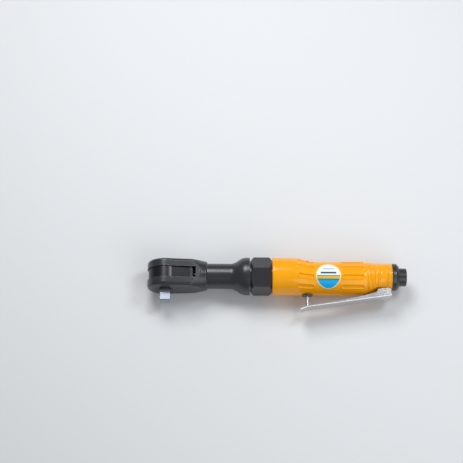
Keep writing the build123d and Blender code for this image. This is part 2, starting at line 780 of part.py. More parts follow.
with BuildPart() as rotor_vanes:
    with BuildSketch(across(rotor_start + running)):
        with PolarLocations(0, vane_count):
            with Locations((slot_bottom + 0.15 + vane_height / 2, 0)):
                Rectangle(vane_height, vane_thickness)
    extrude(amount=rotor_end - rotor_start - 2 * running)
save(rotor_vanes, "rotor_vanes")

with BuildPart() as rear_gasket:
    rod(rear_plate_end, motor_bore_end, motor_bore_radius - seat_gap)
    rod(rear_plate_end - 1, motor_bore_end + 1, exhaust_spread + exhaust_radius + 0.4,
        mode=Mode.SUBTRACT)
save(rear_gasket, "rear_gasket")

# ---------------------------------------------------------------- motor housing

with BuildPart() as motor_housing:
    rod(spigot_end + 0.3, body_start + 1, spigot_radius)
    rod(body_start, body_start + body_straight, body_radius)
    front_rim = motor_housing.edges().filter_by(GeomType.CIRCLE).group_by(SortBy.RADIUS)[-1]
    chamfer(front_rim.sort_by(Axis.X)[0], 0.8)
    # Round front, oval change to the grip, grip, and taper to the tail
    blends = (
        (body_start + body_straight, body_radius, axis_y, grip_start, grip_radius, grip_y),
        (grip_start, grip_radius, grip_y, grip_end, grip_radius, grip_y),
        (grip_end, grip_radius, grip_y, tail_start, tail_radius, axis_y),
    )
    for x_one, radius_one, y_one, x_two, radius_two, y_two in blends:
        with BuildSketch(across(x_one, y_one)):
            Circle(radius_one)
        with BuildSketch(across(x_two, y_two)):
            Circle(radius_two)
        loft()
    rod(tail_start, body_end, tail_radius)
    # Lug that carries the lever's pin
    with BuildSketch(Plane(origin=(0, 0, -lug_half_width), z_dir=(0, 0, 1))):
        with BuildLine():
            Polyline(
                (pivot_x - ear_radius, axis_y - tail_radius + 4),
                (pivot_x - ear_radius, pivot_y),
                (pivot_x + ear_radius, pivot_y),
                (pivot_x + ear_radius, axis_y - tail_radius + 4),
                close=True,
            )
        make_face()
        with Locations((pivot_x, pivot_y)):
            Circle(ear_radius)
    extrude(amount=2 * lug_half_width)
    # Motor bore, air passage, exhaust passages, valve bore and rear chamber
    rod(spigot_end - 1, motor_bore_end, motor_bore_radius, mode=Mode.SUBTRACT)
    rod(valve_x, body_end + 1, air_passage_radius, mode=Mode.SUBTRACT)
    rod(body_end - inlet_shank, body_end + 1, inlet_thread_radius, mode=Mode.SUBTRACT)
    for side in (1, -1):
        with Locations(Plane(origin=(motor_bore_end - 1, axis_y, side * exhaust_spread),
                             z_dir=(1, 0, 0))):
            Cylinder(exhaust_radius, exhaust_chamber + 1 - motor_bore_end + 1, align=FROM_FACE,
                     mode=Mode.SUBTRACT)
    with BuildSketch(across(exhaust_chamber)):
        Circle(tail_radius - exhaust_wall)
        Circle(inlet_thread_radius + exhaust_wall, mode=Mode.SUBTRACT)
    extrude(amount=exhaust_chamber_depth + 1, mode=Mode.SUBTRACT)
    post(seat_y, axis_y + 2 * grip_radius, valve_bore_radius, x=valve_x, mode=Mode.SUBTRACT)
    post(axis_y - 2 * grip_radius, seat_y + 1, valve_seat_radius, x=valve_x, mode=Mode.SUBTRACT)
    bushing_top = seat_y - 4.5
    post(axis_y - 2 * grip_radius, bushing_top, valve_bore_radius - 0.5, x=valve_x,
         mode=Mode.SUBTRACT)
    # Passage from the valve to the motor
    rod(motor_bore_end - 1, valve_x, 1.8, y=seat_y - 2.2, mode=Mode.SUBTRACT)
    # Lever pin hole
    with Locations((pivot_x, pivot_y, 0)):
        Cylinder(lever_pin_radius, 4 * lever_half_width, mode=Mode.SUBTRACT)
save(motor_housing, "motor_housing")

# ---------------------------------------------------------------- throttle valve
# Lowest line of the housing where the bushing's flange meets it
grip_bottom = min(grip_y - grip_radius, axis_y - body_radius)
bushing_bottom = grip_bottom - 0.8
lever_lean = radians(lever_angle)
# The lever's inner face where the valve stem meets it
lever_face_y = (pivot_y - lever_plate_depth / cos(lever_lean)
                - (pivot_x - valve_x) * tan(lever_lean))
stem_tip = lever_face_y + 0.35
bush_radius = valve_bore_radius - 0.5

with BuildPart() as throttle_bushing:
    post(bushing_bottom, bushing_top, bush_radius - seat_gap, x=valve_x)
    post(bushing_bottom, grip_bottom - seat_gap, bushing_flange_radius, x=valve_x)
    post(bushing_bottom - 1, bushing_top + 1, stem_radius + running, x=valve_x,
         mode=Mode.SUBTRACT)
    # Groove for the O-ring
    with BuildSketch(level(bushing_top - 3.2, valve_x)):
        Circle(bush_radius + 1)
        Circle(bush_radius - 0.9, mode=Mode.SUBTRACT)
    extrude(amount=1.6, mode=Mode.SUBTRACT)
save(throttle_bushing, "throttle_bushing")

with BuildPart() as bushing_o_ring:
    with Locations(level(bushing_top - 2.4, valve_x)):
        Torus(bush_radius - 0.45, 0.43)
save(bushing_o_ring, "bushing_o_ring")

with BuildPart() as throttle_valve:
    post(stem_tip, valve_head_low + 0.5, stem_radius, x=valve_x)
    fillet(throttle_valve.edges().sort_by(Axis.Y)[0], 0.8)
    post(valve_head_low, valve_head_high, valve_head_radius, x=valve_x)
    # Boss that centres the spring
    post(valve_head_high, valve_head_high + 1.4, valve_spring_radius - 1, x=valve_x)
save(throttle_valve, "throttle_valve")

with BuildPart() as valve_seal:
    post(seat_y + seat_gap, valve_head_low, valve_head_radius, x=valve_x)
    post(seat_y - 1, valve_head_low + 1, stem_radius, x=valve_x, mode=Mode.SUBTRACT)
save(valve_seal, "valve_seal")

with BuildPart() as throttle_plug:
    post(plug_low, plug_top, valve_bore_radius - seat_gap, x=valve_x)
    post(plug_top, plug_top + plug_stud_height, plug_stud_radius, x=valve_x)
    chamfer(throttle_plug.edges().sort_by(Axis.Y)[-1], 0.4)
    # Driver slot across the plug's face, on both sides of the stud
    for side in (1, -1):
        with Locations((valve_x, plug_top, side * (plug_stud_radius + 1.6))):
            Box(0.9, 1.6, 2.4, mode=Mode.SUBTRACT)
save(throttle_plug, "throttle_plug")

throttle_spring = spring(valve_spring_radius, valve_spring_wire, valve_spring_turns,
                         level(valve_head_high, valve_x), plug_low - valve_head_high)
save(throttle_spring, "throttle_spring")

# ---------------------------------------------------------------- throttle lever
# Local x runs from the pivot to the lever's free end, local y away from the housing.
lever_plane = Plane(origin=(pivot_x, pivot_y, 0),
                    x_dir=(-cos(lever_lean), -sin(lever_lean), 0), z_dir=(0, 0, 1))
plate_outside = lever_plate_depth + lever_sheet

with BuildPart() as throttle_lever:
    with BuildSketch(lever_plane):
        with BuildLine():
            Polyline(
                (-ear_back, ear_corner - ear_height),
                (-ear_back, plate_outside),
                (lever_reach - 6, plate_outside),
                (lever_reach, plate_outside + 1.6),
                (lever_reach, plate_outside + 0.4),
                (lever_reach - 6, lever_plate_depth - 0.2),
                (lever_reach * 0.55, lever_plate_depth - 0.6),
                (lever_reach * 0.22, lever_plate_depth - 2.6),
                (ear_front, 0),
                (ear_front - ear_corner, -ear_height),
                (ear_corner - ear_back, -ear_height),
                close=True,
            )
        make_face()
    extrude(amount=lever_half_width, both=True)
    # Inside of the channel, from the housing's side to the plate
    with BuildSketch(lever_plane):
        with BuildLine():
            Polyline(
                (-2 * ear_radius, -2 * ear_radius),
                (-2 * ear_radius, lever_plate_depth),
                (lever_reach - 6, lever_plate_depth),
                (lever_reach + 1, lever_plate_depth + 1.6 * 7 / 6),
                (lever_reach + 1, -2 * ear_radius),
                close=True,
            )
        make_face()
    extrude(amount=lever_half_width - lever_sheet, both=True, mode=Mode.SUBTRACT)
    with Locations((pivot_x, pivot_y, 0)):
        Cylinder(lever_pin_radius + running, 4 * lever_half_width, mode=Mode.SUBTRACT)
save(throttle_lever, "throttle_lever")

with BuildPart() as lever_pin:
    with Locations((pivot_x, pivot_y, 0)):
        Cylinder(lever_pin_radius, 2 * lever_half_width + 1.2)
    chamfer(lever_pin.edges(), 0.3)
save(lever_pin, "lever_pin")

# ---------------------------------------------------------------- air inlet and exhaust
with BuildPart() as air_inlet:
    rod(body_end - inlet_shank, ring_start, inlet_thread_radius - seat_gap)
    rod(body_end + seat_gap, ring_end + 0.3, inlet_hub_radius)
    rod(ring_end + ring_gap, inlet_end, inlet_collar_radius)
    chamfer(air_inlet.faces().sort_by(Axis.X)[-1].edges(), 0.8)
    rod(body_end - inlet_shank - 1, inlet_end + 1, air_passage_radius, mode=Mode.SUBTRACT)
    rod(inlet_end - inlet_bore_depth, inlet_end + 1, inlet_bore_radius, mode=Mode.SUBTRACT)
    rod(screen_start, inlet_end, screen_radius, mode=Mode.SUBTRACT)
save(air_inlet, "air_inlet")

with BuildPart() as inlet_screen:
    rod(screen_start, screen_start + screen_thickness, screen_radius - seat_gap)
    rod(screen_start - 1, inlet_end, screen_radius - 1, mode=Mode.SUBTRACT)
    for turn in range(4):
        with Locations(Location((screen_start + screen_thickness / 2, axis_y, 0),
                                (45 * turn, 0, 0))):
            Box(screen_thickness / 2, 2 * screen_radius - 1, 0.4)
save(inlet_screen, "inlet_screen")

with BuildPart() as exhaust_ring:
    with BuildSketch(side_view):
        with BuildLine():
            Polyline(
                (ring_start, inlet_hub_radius + running),
                (ring_start, inlet_thread_radius + exhaust_wall),
                (ring_start + ring_rim, inlet_thread_radius + exhaust_wall),
                (ring_start + ring_rim, tail_radius - exhaust_wall),
                (ring_start, tail_radius - exhaust_wall),
                (ring_start, tail_radius),
                (ring_start + ring_rim + 0.2, tail_radius),
                (ring_end, tail_radius - ring_taper),
                (ring_end, inlet_hub_radius + running),
                close=True,
            )
        make_face()
    revolve(axis=tool_axis)
    # Exhaust slots through the rear wall, on the side away from the lever
    for slot in range(exhaust_slots):
        angle = exhaust_slot_pitch * (slot - (exhaust_slots - 1) / 2)
        with Locations(Location((ring_end, axis_y, 0), (angle, 0, 0))):
            with Locations((0, (inlet_hub_radius + tail_radius) / 2, 0)):
                Box(8, exhaust_slot_width, exhaust_slot_height, mode=Mode.SUBTRACT)
save(exhaust_ring, "exhaust_ring")

with BuildPart() as exhaust_silencer:
    rod(exhaust_chamber + seat_gap, body_end - 0.3, tail_radius - exhaust_wall - seat_gap)
    rod(exhaust_chamber - 1, body_end + 1, inlet_thread_radius + exhaust_wall + seat_gap,
        mode=Mode.SUBTRACT)
save(exhaust_silencer, "exhaust_silencer")

# ---------------------------------------------------------------- label
label_x = body_start + label_from_front
roll = radians(label_roll)
with BuildPart() as round_label:
    with BuildSketch(Plane(origin=(label_x, grip_y, 0), x_dir=(1, 0, 0),
                           z_dir=(0, -sin(roll), cos(roll)))):
        Circle(label_radius)
    extrude(amount=2 * grip_radius)
    with BuildSketch(across(label_x - 2 * label_radius, grip_y)):
        Circle(grip_radius + label_thickness)
        Circle(grip_radius + seat_gap, mode=Mode.SUBTRACT)
    extrude(amount=4 * label_radius, mode=Mode.INTERSECT)
save(round_label, "round_label")
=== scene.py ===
"""Air ratchet: the finished look of a 3/8 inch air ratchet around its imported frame."""

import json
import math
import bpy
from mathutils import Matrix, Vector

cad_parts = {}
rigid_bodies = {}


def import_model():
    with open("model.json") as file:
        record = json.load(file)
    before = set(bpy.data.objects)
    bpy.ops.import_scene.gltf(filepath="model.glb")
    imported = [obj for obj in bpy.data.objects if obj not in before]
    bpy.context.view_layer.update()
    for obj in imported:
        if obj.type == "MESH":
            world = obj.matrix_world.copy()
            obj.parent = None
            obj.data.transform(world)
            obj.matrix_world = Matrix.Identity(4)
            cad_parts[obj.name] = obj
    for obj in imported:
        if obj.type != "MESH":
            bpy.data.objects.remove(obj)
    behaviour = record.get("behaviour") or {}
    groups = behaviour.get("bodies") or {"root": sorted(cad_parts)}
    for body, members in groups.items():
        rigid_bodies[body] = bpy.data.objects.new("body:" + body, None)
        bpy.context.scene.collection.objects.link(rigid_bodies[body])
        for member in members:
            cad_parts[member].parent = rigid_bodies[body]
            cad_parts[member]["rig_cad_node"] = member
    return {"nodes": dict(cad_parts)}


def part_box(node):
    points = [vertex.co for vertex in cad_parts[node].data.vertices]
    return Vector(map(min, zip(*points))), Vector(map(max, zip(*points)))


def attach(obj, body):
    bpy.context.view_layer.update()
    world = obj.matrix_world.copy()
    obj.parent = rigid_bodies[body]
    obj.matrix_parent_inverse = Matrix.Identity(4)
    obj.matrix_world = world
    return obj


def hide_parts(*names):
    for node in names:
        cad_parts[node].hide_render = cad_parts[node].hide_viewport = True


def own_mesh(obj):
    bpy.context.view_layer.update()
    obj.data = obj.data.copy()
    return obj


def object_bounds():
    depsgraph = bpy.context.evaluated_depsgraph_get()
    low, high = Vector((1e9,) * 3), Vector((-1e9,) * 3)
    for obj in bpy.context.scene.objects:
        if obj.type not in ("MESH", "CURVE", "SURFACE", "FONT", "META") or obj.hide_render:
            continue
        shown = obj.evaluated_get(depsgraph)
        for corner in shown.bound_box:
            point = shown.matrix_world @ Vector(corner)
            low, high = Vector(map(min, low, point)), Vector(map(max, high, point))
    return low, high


bl_info = {
    "name": "Air Ratchet",
    "version": (1, 0, 0),
    "blender": (4, 5, 0),
    "location": "3D View > Sidebar > Air Ratchet",
    "description": "Builds the housing, lever and finishes of an air ratchet",
    "category": "Object",
}

import bmesh
import bpy
from bpy.props import FloatProperty, FloatVectorProperty, IntProperty, PointerProperty
from mathutils import Quaternion, Vector

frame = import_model()
CAD_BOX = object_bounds()
NODES = frame["nodes"]

MM = 0.001
AXIS_Y = 14.5  # height of the tool's axis above the drive's shoulder

# Ratchet head, in millimetres
HEAD_THICKNESS = 27.0
BARREL_START = 33.0
RAMP_SIDE = 8.0  # side of the three-sided prism that cuts the ramp
RAMP_WIDTH = 24.0
RAMP_LEAD = 0.03  # the cut starts this far ahead of the barrel, and leaves no film there

# Motor housing along the tool's axis, in millimetres
SNOUT_START = 91.3
SNOUT_RADIUS = 14.9
FRONT = 103.0
FRONT_RADIUS = 18.25
ROUND_END = 122.0
GRIP_START = 140.0
GRIP_RADIUS = 16.4
GRIP_LIFT = -2.0
GRIP_END = 191.0
TAIL_START = 206.6
TAIL_RADIUS = 13.2
REAR = 218.6
VALVE_X = 137.0
PIVOT = (210.8, -1.7)
LUG_LENGTH = 7.2
LUG_WIDTH = 12.0
LUG_ROUND = 3.55
LUG_EDGE = 0.4
LABEL_CENTRE = (156.6, 10.957, 16.33)
LABEL_RADIUS = 12.0

# Bores and passages of the motor housing, in millimetres
MOTOR_BORE_RADIUS = 13.25
MOTOR_BORE_END = 131.3
PASSAGE_START = 130.3
INLET_BORE_START = 204.0
INLET_BORE_RADIUS = 7.5
AIR_RADIUS = 4.0
EXHAUST_RADIUS = 2.0
EXHAUST_SPREAD = 10.0
EXHAUST_END = 213.6
FEED_RADIUS = 1.8
PLUG_RADIUS = 4.5
PLUG_MOUTH_RADIUS = 5.2
STEM_RADIUS = 3.0
BUSHING_RADIUS = 4.0
CHAMBER_START = 212.6
CHAMBER_RADIUS = 12.0
HUB_RADIUS = 8.7
PIN_HOLE_RADIUS = 1.5
VALVE_SEAT = AXIS_Y - 4.0

# Exhaust ring and the inlet's thread, in millimetres and degrees
RING_BORE_RADIUS = 8.05
RING_WALL_END = 3.4
RING_END_RADIUS = 10.95
SLOT_COUNT = 9
SLOT_PITCH = 20
SLOT_SIZE = (8, 1.9, 1.3)
SLOT_ROUND = 0.6
THREAD_LENGTH = 12.5
THREAD_RADIUS = 5.75
THREAD_RIDGE = 0.55

# Rounding of small pieces' edges, in metres
SMALL_EDGE = 0.0003
FINE_EDGE = 0.0002

# Colours that don't change with the panel
LABEL_TOP = (0.90, 0.87, 0.79)
LABEL_RIM = (0.80, 0.82, 0.55)
WORLD_COLOUR = (0.96, 0.98, 1.0)
WORLD_STRENGTH = 0.30

# Camera, in degrees and metres: the object sits right of and below the view's middle
CAMERA_ELEVATION = 71
CAMERA_ROLL = 0.38
CAMERA_DISTANCE = 1.5
CAMERA_HALF_VIEW = 0.2262
CAMERA_AIM = (0.0635, 0.0604, 0)
# Softboxes: name, place from the object's middle and height, size, power, tint
SOFTBOXES = (
    ("key", (-0.20, 0.50, 0.72), 0.40, 4.4, (1, 1, 1)),
    ("fill", (0.45, -0.55, 0.60), 0.7, 2.6, (1, 1, 1)),
    ("strip", (0.42, 0.27, 0.72), 0.24, 2.0, (0.93, 0.97, 1.0)),
)


# ------------------------------------------------------------------ sizes and colours
class AirRatchetSizes(bpy.types.PropertyGroup):
    """Sizes of the details that are added around the frame."""

    pocket_rim_height: FloatProperty(
        name="Pocket rim height", description="How far the rim of a grip pocket stands proud",
        default=0.0004, min=0.0, unit="LENGTH")
    pocket_rim_width: FloatProperty(
        name="Pocket rim width", description="Width of the rim round a grip pocket",
        default=0.0005, min=0.0001, unit="LENGTH")
    pocket_depth: FloatProperty(
        name="Pocket depth", description="Depth of a grip pocket below the housing's surface",
        default=0.0006, min=0.0, unit="LENGTH")
    pad_rise: FloatProperty(
        name="Pad rise", description="Height of the finger pad at the tail",
        default=0.0011, min=0.0, unit="LENGTH")
    rib_rise: FloatProperty(
        name="Rib rise", description="Height of the ribs across the finger pad",
        default=0.0011, min=0.0, unit="LENGTH")
    steel_rounding: FloatProperty(
        name="Steel edge rounding", description="Rounding of the steel pieces' edges",
        default=0.0004, min=0.0001, unit="LENGTH")
    lever_bend: FloatProperty(
        name="Lever bend", description="Outside radius of the lever's folded sides",
        default=0.0011, min=0.0001, unit="LENGTH")
    thread_pitch: FloatProperty(
        name="Inlet thread pitch", description="Pitch of the thread in the air inlet",
        default=0.00141, min=0.0005, unit="LENGTH")
    thread_turns: IntProperty(
        name="Inlet thread turns", description="Turns of thread in the air inlet",
        default=8, min=1, max=12)


def colour_property(name, description, default):
    return FloatVectorProperty(name=name, description=description, subtype="COLOR",
                               size=3, min=0.0, max=1.0, default=default)


class AirRatchetColours(bpy.types.PropertyGroup):
    """Colours of the finishes."""

    enamel: colour_property("Enamel", "Paint on the motor housing", (0.95, 0.39, 0.001))
    black: colour_property("Black steel", "Black oxide on the head and nut",
                           (0.021, 0.0225, 0.027))
    bare: colour_property("Bare steel", "Steel where the black has worn away",
                          (0.30, 0.30, 0.31))
    square: colour_property("Square drive", "Satin chrome on the square",
                            (0.40, 0.44, 0.52))
    plated: colour_property("Plated steel", "Zinc plate on the lever and its pin",
                            (0.72, 0.73, 0.74))
    label_sky: colour_property("Label top", "Upper part of the label", (0.78, 0.89, 0.90))
    label_band: colour_property("Label band", "Band across the label", (0.75, 0.50, 0.06))
    label_base: colour_property("Label base", "Lower part of the label", (0.0, 0.38, 0.80))
    label_ink: colour_property("Label ink", "Rules and border lines on the label",
                               (0.02, 0.07, 0.11))
    floor: colour_property("Floor", "Studio floor", (0.74, 0.755, 0.775))


# ------------------------------------------------------------------ modelling helpers
def only(piece):
    """Makes the piece the one selected, active object."""
    bpy.ops.object.select_all(action="DESELECT")
    piece.select_set(True)
    bpy.context.view_layer.objects.active = piece


def open_mesh(piece, elements="FACE"):
    """Starts editing the piece's mesh with nothing selected."""
    only(piece)
    bpy.ops.object.mode_set(mode="EDIT")
    bpy.ops.mesh.select_mode(type=elements)
    bpy.ops.mesh.select_all(action="DESELECT")


def close_mesh():
    bpy.ops.object.mode_set(mode="OBJECT")


def pick(piece, elements, test):
    """Selects only the faces or edges that pass the test; returns how many there are."""
    mesh = bmesh.from_edit_mesh(piece.data)
    bpy.ops.mesh.select_all(action="DESELECT")
    found = 0
    for element in getattr(mesh, elements):
        if test(element):
            element.select_set(True)
            found += 1
    mesh.select_flush_mode()
    bmesh.update_edit_mesh(piece.data)
    return found


def face_out():
    """Points the open mesh's faces outward."""
    bpy.ops.mesh.select_all(action="SELECT")
    bpy.ops.mesh.normals_make_consistent(inside=False)


def settled():
    """The new primitive, with its place, turn and scale put into its mesh."""
    bpy.ops.object.transform_apply(location=True, rotation=True, scale=True)
    return bpy.context.object


def turned(name, along, stations, segments=96, base=(0.0, 0.0, 0.0)):
    """A closed turned piece: rings of (place, radius[, lift]) in millimetres along X or Y,
    each drawn out of the one before it."""

    def centre(place, lift=0.0):
        if along == "X":
            return Vector((base[0] + place, base[1] + lift, base[2])) * MM
        return Vector((base[0], base[1] + place, base[2])) * MM

    first = stations[0]
    turn = (0, math.pi / 2, 0) if along == "X" else (math.pi / 2, 0, 0)
    bpy.ops.object.select_all(action="DESELECT")
    bpy.ops.mesh.primitive_circle_add(vertices=segments, radius=first[1] * MM,
                                      fill_type="NGON", rotation=turn,
                                      location=centre(first[0], *first[2:]))
    piece = settled()
    piece.name = piece.data.name = name
    open_mesh(piece)
    bpy.ops.mesh.select_all(action="SELECT")
    here, radius = centre(first[0], *first[2:]), first[1]
    for station in stations[1:]:
        there = centre(station[0], *station[2:])
        bpy.ops.mesh.extrude_region_move(TRANSFORM_OT_translate={"value": there - here})
        share = station[1] / radius
        if abs(share - 1) > 1e-7:
            size = (1, share, share) if along == "X" else (share, 1, share)
            bpy.ops.transform.resize(value=size, center_override=there)
        here, radius = there, station[1]
    face_out()
    close_mesh()
    return piece


def apply(piece, kind, **settings):
    """Adds a modifier to the piece and applies it."""
    only(piece)
    modifier = piece.modifiers.new(kind.title(), kind)
    for key, value in settings.items():
        setattr(modifier, key, value)
    bpy.ops.object.modifier_apply(modifier=modifier.name)


def combine(piece, tool, operation="DIFFERENCE"):
    """Cuts the tool out of the piece, or adds it on."""
    apply(piece, "BOOLEAN", operation=operation, solver="MANIFOLD", object=tool)
    bpy.data.objects.remove(tool)


def smooth(piece, angle=35):
    """Smooth shading with crisp edges where faces meet more sharply than the angle."""
    only(piece)
    bpy.ops.object.shade_smooth_by_angle(angle=math.radians(angle))


def even_shading(piece):
    """Smooth shading in which the large faces stay flat."""
    smooth(piece, 40)
    apply(piece, "WEIGHTED_NORMAL", keep_sharp=True, weight=60)


def copy_node(node, name):
    """A clean copy of a CAD node's mesh: doubles merged and flat faces joined."""
    piece = NODES[node].copy()
    piece.data = NODES[node].data.copy()
    piece.name = piece.data.name = name
    piece.parent = None
    del piece["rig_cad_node"]
    bpy.context.scene.collection.objects.link(piece)
    open_mesh(piece, "VERT")
    bpy.ops.mesh.select_all(action="SELECT")
    bpy.ops.mesh.remove_doubles(threshold=2e-6)
    bpy.ops.mesh.dissolve_limited(angle_limit=math.radians(0.3))
    if piece.data.has_custom_normals:
        bpy.ops.mesh.customdata_custom_splitnormals_clear()
    close_mesh()
    return piece


def round_edges(piece, width, segments=3, angle=30):
    """Rounds the piece's sharp outer edges and evens out its shading."""
    open_mesh(piece, "EDGE")
    pick(piece, "edges", lambda e: (len(e.link_faces) == 2 and e.is_convex
                                    and e.calc_face_angle() > math.radians(angle)))
    bpy.ops.mesh.bevel(offset=width, segments=segments, affect="EDGES",
                       clamp_overlap=True, miter_outer="ARC")
    close_mesh()
    even_shading(piece)


def place(piece, body, finish, slot, *nodes):
    """Puts the finish on a piece, has it ride on a body and stand for CAD nodes."""
    piece.data.materials.clear()
    piece.data.materials.append(FINISHES[finish]())
    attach(piece, body)
    if nodes:
        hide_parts(*nodes)


def rounded_node(node, body, finish, width, segments=3):
    """A CAD node's copy with rounded edges, in place of the node."""
    piece = copy_node(node, node + "_finished")
    round_edges(piece, width, segments)
    place(piece, body, finish, SLOTS.get(finish, finish), node)


def working_spring(node, body):
    """A spring's copy with smooth shading, riding on the body in place of the spring node."""
    piece = copy_node(node, node + "_finished")
    smooth(piece, 60)
    place(piece, body, "spring_steel", "spring_steel", node)
    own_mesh(piece)


# ------------------------------------------------------------------ shader helpers
def add(tree, kind, inputs=None, **settings):
    """Adds a shader node; an input is a value or the socket that it is linked from."""
    made = tree.nodes.new("ShaderNode" + kind)
    for key, value in settings.items():
        setattr(made, key, value)
    for key, value in (inputs or {}).items():
        socket = made.inputs[key]
        if isinstance(value, bpy.types.NodeSocket):
            tree.links.new(value, socket)
        else:
            socket.default_value = value
    return made


def math_node(tree, operation, *values, clamp=False):
    """The result of a Math node; a value may be a number or a socket."""
    return add(tree, "Math", dict(enumerate(values)), operation=operation,
               use_clamp=clamp).outputs[0]


def new_group(name, inputs, outputs):
    """A shader group with named sockets: each input is a name, kind and default, and each
    output a name and kind."""
    group = bpy.data.node_groups.new(name, "ShaderNodeTree")
    for title, kind, default in inputs:
        socket = group.interface.new_socket(title, in_out="INPUT",
                                            socket_type="NodeSocket" + kind)
        socket.default_value = default
    for title, kind in outputs:
        group.interface.new_socket(title, in_out="OUTPUT", socket_type="NodeSocket" + kind)
    source = group.nodes.new("NodeGroupInput")
    result = group.nodes.new("NodeGroupOutput")
    return group, source, result


def worn_edges_group():
    """Mask of a piece's outer edges, broken up by noise."""
    found = bpy.data.node_groups.get("Worn Edges")
    if found:
        return found
    group, source, result = new_group(
        "Worn Edges",
        [("Radius", "Float", 0.0006), ("Scale", "Float", 400.0), ("Amount", "Float", 1.0)],
        [("Mask", "Float")])
    rounded = add(group, "Bevel", {"Radius": source.outputs["Radius"]}, samples=6)
    geometry = add(group, "NewGeometry")
    lean = add(group, "VectorMath", {0: rounded.outputs[0], 1: geometry.outputs["Normal"]},
               operation="DOT_PRODUCT").outputs["Value"]
    edge = math_node(group, "MULTIPLY", math_node(group, "SUBTRACT", 1.0, lean), 9.0)
    coords = add(group, "TexCoord").outputs["Object"]
    noise = add(group, "TexNoise", {"Vector": coords, "Scale": source.outputs["Scale"],
                                    "Detail": 4.0}).outputs[0]
    broken = add(group, "MapRange", {"Value": noise, "From Min": 0.42,
                                     "From Max": 0.62}).outputs[0]
    mask = math_node(group, "MULTIPLY", math_node(group, "MULTIPLY", edge, broken),
                     source.outputs["Amount"], clamp=True)
    group.links.new(mask, result.inputs["Mask"])
    return group


def grain_group():
    """Fine surface grain: a varied roughness and a slight relief."""
    found = bpy.data.node_groups.get("Fine Grain")
    if found:
        return found
    group, source, result = new_group(
        "Fine Grain",
        [("Scale", "Float", 900.0), ("Stretch", "Vector", (1.0, 1.0, 1.0)),
         ("Roughness", "Float", 0.4), ("Variation", "Float", 0.1),
         ("Depth", "Float", 0.2), ("Smudges", "Float", 0.05)],
        [("Roughness", "Float"), ("Normal", "Vector")])
    coords = add(group, "TexCoord").outputs["Object"]
    stretched = add(group, "VectorMath", {0: coords, 1: source.outputs["Stretch"]},
                    operation="MULTIPLY").outputs[0]
    fine = add(group, "TexNoise", {"Vector": stretched, "Scale": source.outputs["Scale"],
                                   "Detail": 3.0}).outputs[0]
    broad = add(group, "TexNoise", {"Vector": coords, "Scale": 70.0, "Detail": 5.0,
                                    "Roughness": 0.65}).outputs[0]
    spread = math_node(group, "MULTIPLY", math_node(group, "SUBTRACT", fine, 0.5),
                       source.outputs["Variation"])
    smudge = math_node(group, "MULTIPLY", math_node(group, "SUBTRACT", broad, 0.5),
                       source.outputs["Smudges"])
    total = math_node(group, "ADD", source.outputs["Roughness"],
                      math_node(group, "ADD", spread, smudge), clamp=True)
    relief = add(group, "Bump", {"Height": fine, "Strength": source.outputs["Depth"],
                                 "Distance": 0.00005}).outputs[0]
    group.links.new(total, result.inputs["Roughness"])
    group.links.new(relief, result.inputs["Normal"])
    return group


def use(tree, group, inputs=None):
    """Places a shader group in a material."""
    made = tree.nodes.new("ShaderNodeGroup")
    made.node_tree = group
    for key, value in (inputs or {}).items():
        made.inputs[key].default_value = value
    return made


def new_material(name):
    """A new material, with its node tree and its Principled shader."""
    material = bpy.data.materials.new(name)
    material.use_nodes = True
    tree = material.node_tree
    return material, tree, tree.nodes["Principled BSDF"]


def add_grain(tree, shader, inputs):
    """Puts the fine grain on the shader's roughness and normal."""
    grain = use(tree, grain_group(), inputs)
    for key in ("Roughness", "Normal"):
        tree.links.new(grain.outputs[key], shader.inputs[key])


def opaque(colour, share=1.0):
    """A colour as a socket takes it, lightened or darkened by the share."""
    return tuple(min(1.0, part * share) for part in colour) + (1.0,)


def mix(tree, mask, low, high):
    """Colour mix by a mask."""
    made = tree.nodes.new("ShaderNodeMix")
    made.data_type = "RGBA"
    colours = [socket for socket in made.inputs if socket.type == "RGBA"]
    for socket, value in ((made.inputs[0], mask), (colours[0], low), (colours[1], high)):
        if isinstance(value, bpy.types.NodeSocket):
            tree.links.new(value, socket)
        else:
            socket.default_value = value
    return next(socket for socket in made.outputs if socket.type == "RGBA")


def surface(name, colour, metallic=0.0, roughness=0.4, variation=0.08, scale=900.0,
            stretch=(1, 1, 1), depth=0.15, smudges=0.06, coat=0.0, worn=None, wear=0.0):
    """A solid finish with grain, and worn edges where it has a worn colour."""
    made = bpy.data.materials.get(name)
    if made:
        return made
    made, tree, shader = new_material(name)
    add_grain(tree, shader, {"Scale": scale, "Stretch": stretch, "Roughness": roughness,
                             "Variation": variation, "Depth": depth, "Smudges": smudges})
    shader.inputs["Base Color"].default_value = opaque(colour)
    shader.inputs["Metallic"].default_value = metallic
    shader.inputs["Coat Weight"].default_value = coat
    shader.inputs["Coat Roughness"].default_value = 0.12
    if worn:
        edges = use(tree, worn_edges_group(), {"Amount": wear})
        tree.links.new(mix(tree, edges.outputs["Mask"], opaque(colour), opaque(worn)),
                       shader.inputs["Base Color"])
        tree.links.new(edges.outputs["Mask"], shader.inputs["Metallic"])
    return made


def colours():
    return bpy.context.scene.air_ratchet_colours


def sizes():
    return bpy.context.scene.air_ratchet_sizes


# ------------------------------------------------------------------ finishes
def black_steel():
    return surface("Black oxide steel", colours().black, roughness=0.31, variation=0.10,
                   scale=1400.0, depth=0.10, smudges=0.16, coat=0.15,
                   worn=colours().bare, wear=0.9)


def yoke_steel():
    return surface("Ground dark steel", (0.046, 0.046, 0.050), metallic=1.0,
                   roughness=0.30, variation=0.10, scale=260.0, stretch=(9.0, 0.5, 9.0),
                   depth=0.07, smudges=0.10)


